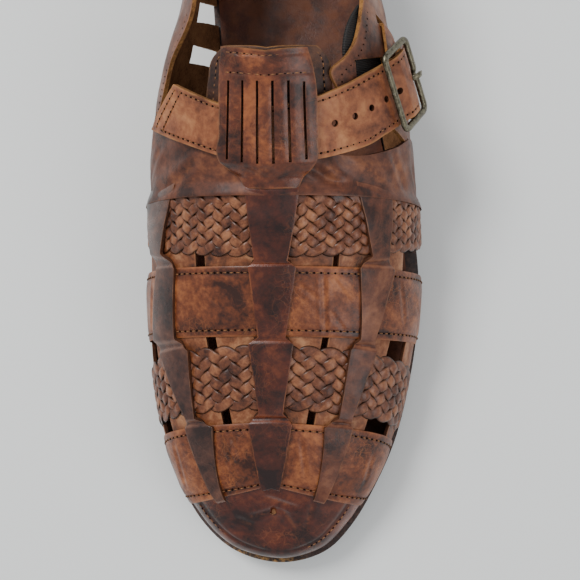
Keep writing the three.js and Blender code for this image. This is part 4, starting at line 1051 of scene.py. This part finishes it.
# Braided stay
# A short plait sewn upright on the inner quarter, between its second window and the heel.
# It is made like the braided bands, but of five narrower strands.
BRAIDED_STAY = {"u": (0.795, 0.832), "v": (-0.995, -0.66), "lean": -0.065}
STAY_WIDTH = 10.5 * mm
STAY_STRANDS = 5
STAY_STEP = 4.6 * mm
STAY_STRAND_WIDTH = 2.9 * mm


def stay_place(a, b):
    return (lerp(*BRAIDED_STAY["u"], b) + BRAIDED_STAY["lean"] * a,
            lerp(*BRAIDED_STAY["v"], a))


stay_ends = lifted(*stay_place(np.array([0, 1]), 0.5), 0)
plait("stay_plait", stay_place, float(np.linalg.norm(stay_ends[1] - stay_ends[0])), STAY_WIDTH, STAY_STRANDS,
      STAY_STEP, STAY_STRAND_WIDTH, STRAP_WALL + 0.9 * mm, [braid_grain, brown_edge, brown_edge],
      wave=0.45 * mm)

# Tongue
# A soft lining tongue under the throat. Its dark, stitched wings show on both sides of the flap.
# It is a single wall of dull leather with raw tan edges, held under the vamp panel.
TONGUE_WALL = 1.9 * mm
TONGUE = table("u left right", [
    [0.478, -0.200, 0.200], [0.520, -0.255, 0.240], [0.580, -0.300, 0.280], [0.620, -0.300, 0.285],
    [0.645, -0.285, 0.275], [0.656, -0.240, 0.235]])
tongue_grain = leather("tongue grain", [(30, 16, 11), (62, 36, 25), (98, 62, 42), (140, 96, 56)],
                       gloss=(0.45, 0.65), craze=0.2, worn_edge=1.0, coat=0.0)
tongue_place = strip(TONGUE, TONGUE["u"][0], TONGUE["u"][-1], -FIT_GAP)
tongue = lay("tongue_lining", (52, 50), tongue_place, TONGUE_WALL, [tongue_grain, flesh, tan_edge], seed=61.0,
             wave=0.3 * mm)
fit(tongue, "tongue_leather", "tongue")
for name, t_at in (("medial", 0.06), ("lateral", 0.94)):
    s_row = np.linspace(0.55, 0.97, 60)
    wing = tongue_place(s_row, np.full(60, t_at))
    sew(f"tongue_stitches_{name}", route(wing["u"], wing["v"], -FIT_GAP), pitch=2.4 * mm)

# Elastic gore
# A strip of black woven elastic inside the outer quarter. It shows through the quarter's window.
# It lies against the leather's flesh side and lets the collar give when the foot goes in.
ELASTIC_WALL = 1.3 * mm
SEAT_GAP = 0.45 * mm
ELASTIC = table("u left right", [
    [0.624, 0.360, 0.560], [0.660, 0.360, 0.640], [0.700, 0.440, 0.740], [0.716, 0.500, 0.740]])


def webbing(name, dark, light):
    """Tight elastic weave: fine ribs along it, crossed by the covering yarn."""
    tree = Tree(name)
    axes = tree.add("SeparateXYZ", {0: tree.uv})
    ribs = tree.calc("SINE", tree.times(axes.outputs["Y"], 2 * math.pi / 0.9))
    yarn = tree.calc("SINE", tree.times(axes.outputs["X"], 2 * math.pi / 0.6))
    weave = tree.plus(tree.times(ribs, 0.6), tree.times(yarn, 0.4))
    tree.feed(tree.shader, {"Base Color": tree.blend(tree.remap(weave, -0.8, 0.9), dark, light),
                            "Roughness": 0.7, "Normal": tree.bump(weave, 0.12 * mm, 0.8)})
    return tree.material


elastic_weave = webbing("elastic weave", srgb(8, 7, 6), srgb(38, 32, 28))
gore_place = strip(ELASTIC, ELASTIC["u"][0], ELASTIC["u"][-1], -2 * SEAT_GAP)
gore = lay("elastic_web", (30, 30), gore_place, ELASTIC_WALL, [elastic_weave] * 3, seed=66.0, wave=0.1 * mm)
fit(gore, "elastic", "elastic_gore")

# Ankle strap
# A light tan strap sewn to the inner quarter with a double row, led under the flap and through the
# buckle. Both edges are raw and stitched, and it has seven punched holes and the prong's wider one.
ANKLE_WALL = 2.0 * mm
ANKLE_LIFT = PANEL_WALL + SEAT_GAP
BUCKLE_RISE = 3.7 * mm
HOLE_DIAMETER = 2.4 * mm
EDGE_STITCH_INSET = 2.0 * mm
STRAP_SPREAD = 24 * mm
ANKLE_STRAP = table("heel_u heel_v toe_u toe_v rise", [
    [0.618, -0.430, 0.574, -0.575, 0.00], [0.605, -0.330, 0.555, -0.420, 0.00],
    [0.592, -0.215, 0.534, -0.230, 0.00], [0.589, -0.110, 0.526, -0.115, 0.00],
    [0.589, 0.000, 0.523, 0.000, 0.00], [0.593, 0.110, 0.524, 0.110, 0.00],
    [0.601, 0.215, 0.530, 0.230, 0.00], [0.617, 0.330, 0.546, 0.380, 0.02],
    [0.629, 0.400, 0.562, 0.465, 0.06], [0.640, 0.467, 0.577, 0.542, 0.12],
    [0.645, 0.492, 0.583, 0.566, 0.40], [0.652, 0.525, 0.5905, 0.600, 0.98],
    [0.660, 0.562, 0.5995, 0.637, 1.04], [0.6635, 0.579, 0.6035, 0.653, 0.98],
    [0.6685, 0.601, 0.609, 0.675, 0.42], [0.676, 0.636, 0.618, 0.710, 0.38],
    [0.686, 0.690, 0.630, 0.760, 0.36], [0.694, 0.745, 0.648, 0.800, 0.25],
    [0.688, 0.800, 0.668, 0.820, 0.15]])
strap_rows = np.arange(len(ANKLE_STRAP["rise"]), dtype=float)
strap_line = {key: flowing(strap_rows, ANKLE_STRAP[key]) for key in ANKLE_STRAP}


def ankle_spot(s, t):
    row = s * strap_rows[-1]
    rise = np.interp(row, strap_rows, ANKLE_STRAP["rise"])
    return (lerp(strap_line["toe_u"](row), strap_line["heel_u"](row), t),
            lerp(strap_line["toe_v"](row), strap_line["heel_v"](row), t), ANKLE_LIFT + BUCKLE_RISE * rise)


def ankle_place(s, t):
    u, v, lift = ankle_spot(s, t)
    from_edge = np.minimum(t, 1 - t) * STRAP_SPREAD
    groove = hump(from_edge - EDGE_STITCH_INSET, 0.6 * mm)
    # The tone is darker along the stitch grooves: painted shade in the grooves.
    return {"u": u, "v": v, "lift": lift + ANKLE_WALL - 0.15 * mm * groove,
            "tone": 0.25 - 0.3 * groove - 0.5 * hump(s * strap_rows[-1] - 1.2, 0.7)}


ankle_grain = leather("ankle strap grain", [(78, 38, 20), (134, 77, 46), (172, 114, 72), (170, 118, 68)],
                      gloss=(0.44, 0.64), craze=0.15, worn_edge=0.9, rub=0.6, coat=0.02, blotch=60.0)
ankle_strap = lay("ankle_strap_leather", (250, 34), ankle_place, ANKLE_WALL, [ankle_grain, flesh, tan_edge],
                  seed=71.0, wave=0.25 * mm, roll=0)
STRAP_HOLES = [6.29, 6.86, 7.68, 8.62, 10.3, 14.5, 15.8]
PRONG_HOLE = {"x": 5.5 * mm, "radius": 1.7 * mm}
BUCKLE_PLACE = {"u": 0.626, "v": 0.580, "turn": 0.645, "tilt": -0.063, "lift": 6.4 * mm}


def buckle_matrix():
    place = BUCKLE_PLACE
    u, v, step = place["u"], place["v"], 2e-3
    normal = Vector(outward(np.array(u), np.array(v)))
    across = Vector(surface(u, v + step) - surface(u, v - step))
    across = (across - normal * across.dot(normal)).normalized()
    basis = Matrix((across, normal.cross(across), normal)).transposed().to_4x4()
    seat = Matrix.Translation(Vector(lifted(u, v, place["lift"])))
    return seat @ basis @ Matrix.Rotation(place["turn"], 4, "Z") @ Matrix.Rotation(place["tilt"], 4, "Y")


BUCKLE = buckle_matrix()


def round_punch(radius, depth, sides, place):
    form = bmesh.new()
    bmesh.ops.create_cone(form, cap_ends=True, segments=sides, radius1=radius, radius2=radius, depth=depth,
                          matrix=place)
    return form


prong_place = BUCKLE @ Matrix.Translation((PRONG_HOLE["x"], 0, 0))
punches = [round_punch(PRONG_HOLE["radius"], 6 * ANKLE_WALL, 20, prong_place)]
for row in STRAP_HOLES:
    u, v, lift = ankle_spot(np.array(row / strap_rows[-1]), np.array(0.5))
    turn = Vector(outward(u, v)).to_track_quat("Z", "Y").to_matrix().to_4x4()
    spot = Matrix.Translation(Vector(lifted(u, v, lift + ANKLE_WALL / 2))) @ turn
    punches.append(round_punch(HOLE_DIAMETER / 2, 4 * ANKLE_WALL, 18, spot))
punched(ankle_strap, punches, brown_edge, crossing=True)
fit(ankle_strap, "strap_leather", "ankle_strap")
for name, t_at in (("toe", 0.085), ("heel", 0.915)):
    s_row = np.linspace(0.02, 0.975, 500)
    u, v, lift = ankle_spot(s_row, np.full(500, t_at))
    sew(f"ankle_stitches_{name}", route(u, v, lift + ANKLE_WALL - 0.1 * mm), pitch=2.5 * mm)
for k, s_at in enumerate((0.012, 0.030)):
    t_row = np.linspace(0.06, 0.94, 60)
    u, v, lift = ankle_spot(np.full(60, s_at), t_row)
    sew(f"ankle_end_stitches_{k + 1}", route(u, v, lift + ANKLE_WALL), pitch=2.4 * mm)

# Flap
# The slit flap is the free end of the centre strap, folded over the ankle strap. Six slits run along
# it, two rows of stitches hold its lining, and its end is raw tan.
FLAP_WALL = 1.7 * mm
FLAP_ROOT = PANEL_WALL - JOIN_DEPTH
FLAP_LIFT = ANKLE_LIFT + ANKLE_WALL + SEAT_GAP
SLIT_WIDTH = 0.5 * mm
FLAP = table("u left right lift", [
    [0.492, -0.098, 0.122, 0.0], [0.505, -0.125, 0.142, 0.0], [0.514, -0.160, 0.165, 0.5],
    [0.524, -0.190, 0.182, 1.0], [0.560, -0.196, 0.190, 1.0], [0.600, -0.200, 0.195, 1.0],
    [0.635, -0.203, 0.183, 1.0], [0.655, -0.200, 0.164, 1.0]])
FLAP_SLITS = table("v start end", [
    [-0.158, 0.528, 0.618], [-0.096, 0.525, 0.619], [-0.032, 0.524, 0.620],
    [0.031, 0.524, 0.620], [0.090, 0.525, 0.619], [0.147, 0.528, 0.617]])
FLAP_STITCHES = [0.627, 0.649]
STRIP_TONES = [-0.5, -0.35, 0.45, 0.3, 0.0, -0.15, -0.5]
flap_line = {key: flowing(FLAP["u"], FLAP[key]) for key in ("left", "right", "lift")}


def flap_place(s, t):
    u = lerp(FLAP["u"][0], FLAP["u"][-1], s)
    v = lerp(flap_line["left"](u), flap_line["right"](u), t)
    inner = lerp(FLAP_ROOT, FLAP_LIFT, np.clip(flap_line["lift"](u), 0, 1.02))
    slit_reach = smooth((u - 0.520) * 60) * smooth((0.622 - u) * 60)
    strips = np.min([np.abs(v - slit) for slit in FLAP_SLITS["v"]], axis=0)
    pillow = 0.35 * mm * slit_reach * (smooth(strips / 0.02) - 0.6)
    rounded = 0.8 * mm * (2 * t - 1) ** 6
    seam = sum(hump(u - row, 1 / 420) for row in FLAP_STITCHES)
    streak = np.array(STRIP_TONES)[np.searchsorted(FLAP_SLITS["v"], v)] * slit_reach
    return {"u": u, "v": v, "lift": inner + FLAP_WALL + pillow - rounded - 0.2 * mm * seam,
            "tone": streak + 0.25 * hump(u - 0.56, 1 / 45) - 0.1}


flap_grain = leather("flap grain", [(42, 18, 10), (92, 44, 24), (146, 82, 44), (160, 102, 58)],
                     gloss=(0.24, 0.44), craze=0.25, worn_edge=0.8, coat=0.2, blotch=75.0)
FLAP_CREASES = [
    (0.515, -0.10, 0.500, 0.02, 0.6, 1.6), (0.512, 0.10, 0.498, 0.05, 0.5, 1.4),
    (0.520, -0.02, 0.500, 0.07, 0.4, 1.2)]
flap = lay("slit_flap", (110, 64), flap_place, FLAP_WALL, [flap_grain, flesh, tan_edge], creases=FLAP_CREASES,
           seed=81.0, wave=0.3 * mm, roll=0)
slits = []
for v_at, start, end in zip(*FLAP_SLITS.values()):
    half = SLIT_WIDTH / 2 / (0.5 * BALL_WIDTH)
    slits.append(block(lambda s, t, v_at=v_at, start=start, end=end, half=half: (
        lerp(start, end, s), v_at + half * (2 * t - 1)), FLAP_LIFT - 0.3 * mm, FLAP_LIFT + 3 * FLAP_WALL,
        rows=12, columns=1))
punched(flap, slits, brown_edge)
fit(flap, "upper_leather", "upper")
for k, u_at in enumerate(FLAP_STITCHES):
    t_row = np.linspace(0.06, 0.94, 80)
    row_spot = flap_place(np.full(80, (u_at - FLAP["u"][0]) / (FLAP["u"][-1] - FLAP["u"][0])), t_row)
    sew(f"flap_stitches_{k + 1}", route(row_spot["u"], row_spot["v"], row_spot["lift"]), length=1.9 * mm)

# Buckle
# A plain rectangular frame of dull grey-brown wire with tight corners, a hidden centre bar below it,
# and a prong that turns on the bar and rests in a notch of the far side. Its edges are worn pale.
BUCKLE_LENGTH = 30.5 * mm
BUCKLE_WIDTH = 21.5 * mm
BUCKLE_WIRE = 2.6 * mm
CENTRE_BAR = 1.6 * mm
CENTRE_DROP = 2.7 * mm


def antique_brass():
    """Brass with a grey-olive patina, rubbed paler where it is handled."""
    tree = Tree("antique brass")
    patina = tree.noise(700.0, 5.0, 0.65, 0.3)
    wear = tree.noise(900.0, 4.0, 0.6)
    colour = tree.blend(tree.remap(patina, 0.36, 0.62), srgb(74, 68, 54), srgb(122, 116, 96))
    colour = tree.blend(tree.remap(wear, 0.55, 0.8), colour, srgb(160, 155, 140))
    tree.feed(tree.shader, {"Base Color": colour, "Metallic": 0.92,
                            "Roughness": tree.remap(patina, 0.3, 0.7, 0.26, 0.52),
                            "Normal": tree.bump(wear, 0.06 * mm, 0.5)})
    return tree.material


brass = antique_brass()


def swept(form, path, ups, sections, closed):
    """Draws a rounded section along a path. sections gives half width and half height at each point."""
    around = 12
    count = len(path)
    rows = count if closed else count - 1
    grid = bmesh.ops.create_grid(form, x_segments=around, y_segments=rows, size=0.5)["verts"]
    run = np.roll(path, -1, axis=0) - np.roll(path, 1, axis=0)
    if not closed:
        run[0], run[-1] = path[1] - path[0], path[-1] - path[-2]
    run /= np.linalg.norm(run, axis=1, keepdims=True)
    side = np.cross(ups, run)
    side /= np.linalg.norm(side, axis=1, keepdims=True)
    over = np.cross(run, side)
    for corner in grid:
        i = int(round((corner.co.y + 0.5) * rows)) % count
        angle = (corner.co.x + 0.5) * 2 * math.pi
        flat = [math.copysign(abs(part) ** 0.8, part) for part in (math.cos(angle), math.sin(angle))]
        point = path[i] + side[i] * flat[0] * sections[i][0] + over[i] * flat[1] * sections[i][1]
        corner.co = BUCKLE @ Vector(point)
    bmesh.ops.remove_doubles(form, verts=grid, dist=1e-6)


def rounded_path(width, height, radius, steps=10):
    points = []
    for cx, cy, start in ((1, 1, 0), (-1, 1, 1), (-1, -1, 2), (1, -1, 3)):
        for i in range(steps + 1):
            angle = (start + i / steps) * math.pi / 2
            points.append((cx * (width / 2 - radius) + radius * math.cos(angle),
                           cy * (height / 2 - radius) + radius * math.sin(angle), 0))
    return np.array(points)


def close_ends(form):
    """Closes the open ends of a swept bar and turns its faces out."""
    rims = [edge for edge in form.edges if edge.is_boundary]
    if rims:
        bmesh.ops.holes_fill(form, edges=rims, sides=0)
    bmesh.ops.recalc_face_normals(form, faces=form.faces[:])


ring_form = bmesh.new()
half_wire = BUCKLE_WIRE / 2
ring = rounded_path(BUCKLE_WIDTH - BUCKLE_WIRE, BUCKLE_LENGTH - BUCKLE_WIRE, 2.4 * mm)
dense = [ring[0]]
for a, b in zip(ring, np.roll(ring, -1, axis=0)):
    parts = max(1, int(np.linalg.norm(b - a) / (0.9 * mm)))
    dense += [a + (b - a) * (i + 1) / parts for i in range(parts)]
ring = np.array(dense[:-1])
notch = hump(ring[:, 1], 1.5 * mm) * (ring[:, 0] > 0)
ring[:, 2] -= 0.7 * mm * notch
swept(ring_form, ring, np.tile([0.0, 0, 1], (len(ring), 1)),
      [(half_wire, half_wire * 0.75 - 0.2 * mm * n) for n in notch], True)
bar_y = np.linspace(-1, 1, 24) * (BUCKLE_LENGTH - BUCKLE_WIRE) / 2
end_rise = CENTRE_DROP * np.clip((np.abs(bar_y) - (BUCKLE_LENGTH / 2 - 3.4 * mm)) / (2.0 * mm), 0, 1)
bar = np.column_stack([0 * bar_y, bar_y, end_rise - CENTRE_DROP])
half_bar = CENTRE_BAR / 2
swept(ring_form, bar, np.tile([1.0, 0, 0], (len(bar), 1)), [(half_bar, half_bar)] * len(bar), False)
close_ends(ring_form)
buckle_ring = settle(ring_form, "buckle_ring", [brass])
fit(buckle_ring, "buckle_metal", "buckle_frame")

PRONG_WIDTH = 2.2 * mm
PRONG_THICKNESS = 1.2 * mm
PRONG_ARM = [(1.2, -2.4), (4.2, -2.4), (5.1, -1.6), (5.7, 1.2), (6.8, 2.3), (9.2, 2.35), (11.0, 1.9)]
prong_form = bmesh.new()
arm_x, arm_z = np.array(PRONG_ARM).T * mm
along_arm = np.linspace(0, len(PRONG_ARM) - 1, 44)
arm = np.column_stack([np.interp(along_arm, range(len(arm_x)), arm_x), 0 * along_arm,
                       np.interp(along_arm, range(len(arm_z)), arm_z)])
for _ in range(3):
    arm[1:-1] = (arm[:-2] + 2 * arm[1:-1] + arm[2:]) / 4
taper = np.clip((len(PRONG_ARM) - 1 - along_arm) / 1.2, 0.45, 1)
swept(prong_form, arm, np.column_stack([-np.gradient(arm[:, 2]), 0 * along_arm, np.gradient(arm[:, 0])]),
      [(PRONG_WIDTH / 2 * k, PRONG_THICKNESS / 2 * k) for k in taper], False)


def coil(form, width, wall, middle):
    """A flat band wrapped once round the centre bar."""
    angle = np.linspace(0, 2 * math.pi, 28, endpoint=False)
    out = np.column_stack([np.cos(angle), 0 * angle, np.sin(angle)])
    path = out * (CENTRE_BAR / 2 + FIT_GAP + wall / 2) + (0, middle, -CENTRE_DROP)
    swept(form, path, out, [(width / 2, wall / 2)] * len(path), True)


coil(prong_form, PRONG_WIDTH, PRONG_THICKNESS, 0)
close_ends(prong_form)
prong = settle(prong_form, "buckle_prong_pin", [brass])
fit(prong, "buckle_metal", "buckle_prong")

# Buckle tab
# The leather tab that holds the buckle: doubled round the centre bar on both sides of the prong, its
# leaf led back along the quarter and into the punched slot.
TAB_WALL = 1.0 * mm
TAB_WIDTH = 17 * mm
BUCKLE_TAB = table("heel_u heel_v toe_u toe_v", [
    [0.648, 0.545, 0.608, 0.598], [0.668, 0.562, 0.630, 0.640], [0.690, 0.578, 0.672, 0.690],
    [0.7005, 0.584, 0.6985, 0.695]])
tab_line = {key: flowing(np.arange(4.0), BUCKLE_TAB[key]) for key in BUCKLE_TAB}


def tab_place(s, t):
    row = 3 * s
    return {"u": lerp(tab_line["toe_u"](row), tab_line["heel_u"](row), t),
            "v": lerp(tab_line["toe_v"](row), tab_line["heel_v"](row), t),
            "lift": STRAP_WALL + FIT_GAP + TAB_WALL - 2.2 * mm * smooth((s - 0.93) * 14), "tone": -0.1}


tab = lay("buckle_tab_leaf", (40, 20), tab_place, TAB_WALL, [ankle_grain, flesh, tan_edge], seed=91.0,
          wave=0.1 * mm)
fit(tab, "strap_leather", "buckle_tab")
loop_form = bmesh.new()
beside_prong = PRONG_WIDTH / 2 + FIT_GAP
for sign in (-1, 1):
    coil(loop_form, TAB_WIDTH / 2 - beside_prong, TAB_WALL, sign * (TAB_WIDTH / 2 + beside_prong) / 2)
close_ends(loop_form)
loops = settle(loop_form, "buckle_tab_loops", [ankle_grain])
fit(loops, "strap_leather", "buckle_tab")

# Camera
# The photograph looks down on the vamp from in front of the toe, turned a little to the buckle's side.
# The lens, the place and the turns in degrees were fitted to the sandal's outline in it.
CAMERA_LENS = 62.07
CAMERA_PLACE = (27.4 * mm, -196.4 * mm, 418.7 * mm)
CAMERA_TURNS = {"Z": 0.59, "Y": 3.41, "X": 7.43}
camera_data = bpy.data.cameras.new("camera")
camera_data.lens, camera_data.sensor_width = CAMERA_LENS, 36
camera = bpy.data.objects.new("camera", camera_data)
bpy.context.scene.collection.objects.link(camera)
view = Matrix.Translation(CAMERA_PLACE)
for axis, degrees in CAMERA_TURNS.items():
    view = view @ Matrix.Rotation(math.radians(degrees), 4, axis)
camera.matrix_world = view
bpy.context.scene.camera = camera

# Floor and light
# A plain pale grey table top, a soft sky of white card and two large soft lamps. The stronger lamp
# hangs on the inner side behind the heel, the weaker one on the outer side in front.
floor_form = bmesh.new()
bmesh.ops.create_grid(floor_form, x_segments=1, y_segments=1, size=1.6)
floor_tree = Tree("table top")
floor_tree.feed(floor_tree.shader, {"Base Color": floor_tree.blend(
    floor_tree.noise(3.0), srgb(232, 233, 230), srgb(236, 237, 234)), "Roughness": 0.8})
floor = settle(floor_form, "floor", [floor_tree.material])


def lamp(name, place, aim, size, power):
    data = bpy.data.lights.new(name, "AREA")
    data.shape, data.size, data.energy = "DISK", size, power
    light = bpy.data.objects.new(name, data)
    bpy.context.scene.collection.objects.link(light)
    turn = (Vector(aim) - Vector(place)).to_track_quat("-Z", "Y")
    light.matrix_world = Matrix.Translation(place) @ turn.to_matrix().to_4x4()


lamp("key", (-0.55, 0.35, 1.15), (0, -0.1, 0.03), 0.5, 13)
lamp("fill", (0.9, -0.7, 0.9), (0, -0.1, 0.03), 0.9, 5)
world = bpy.data.worlds.new("sky")
world.use_nodes = True
world.node_tree.nodes["Background"].inputs["Color"].default_value = (0.92, 0.95, 1.0, 1)
world.node_tree.nodes["Background"].inputs["Strength"].default_value = 0.70
bpy.context.scene.world = world
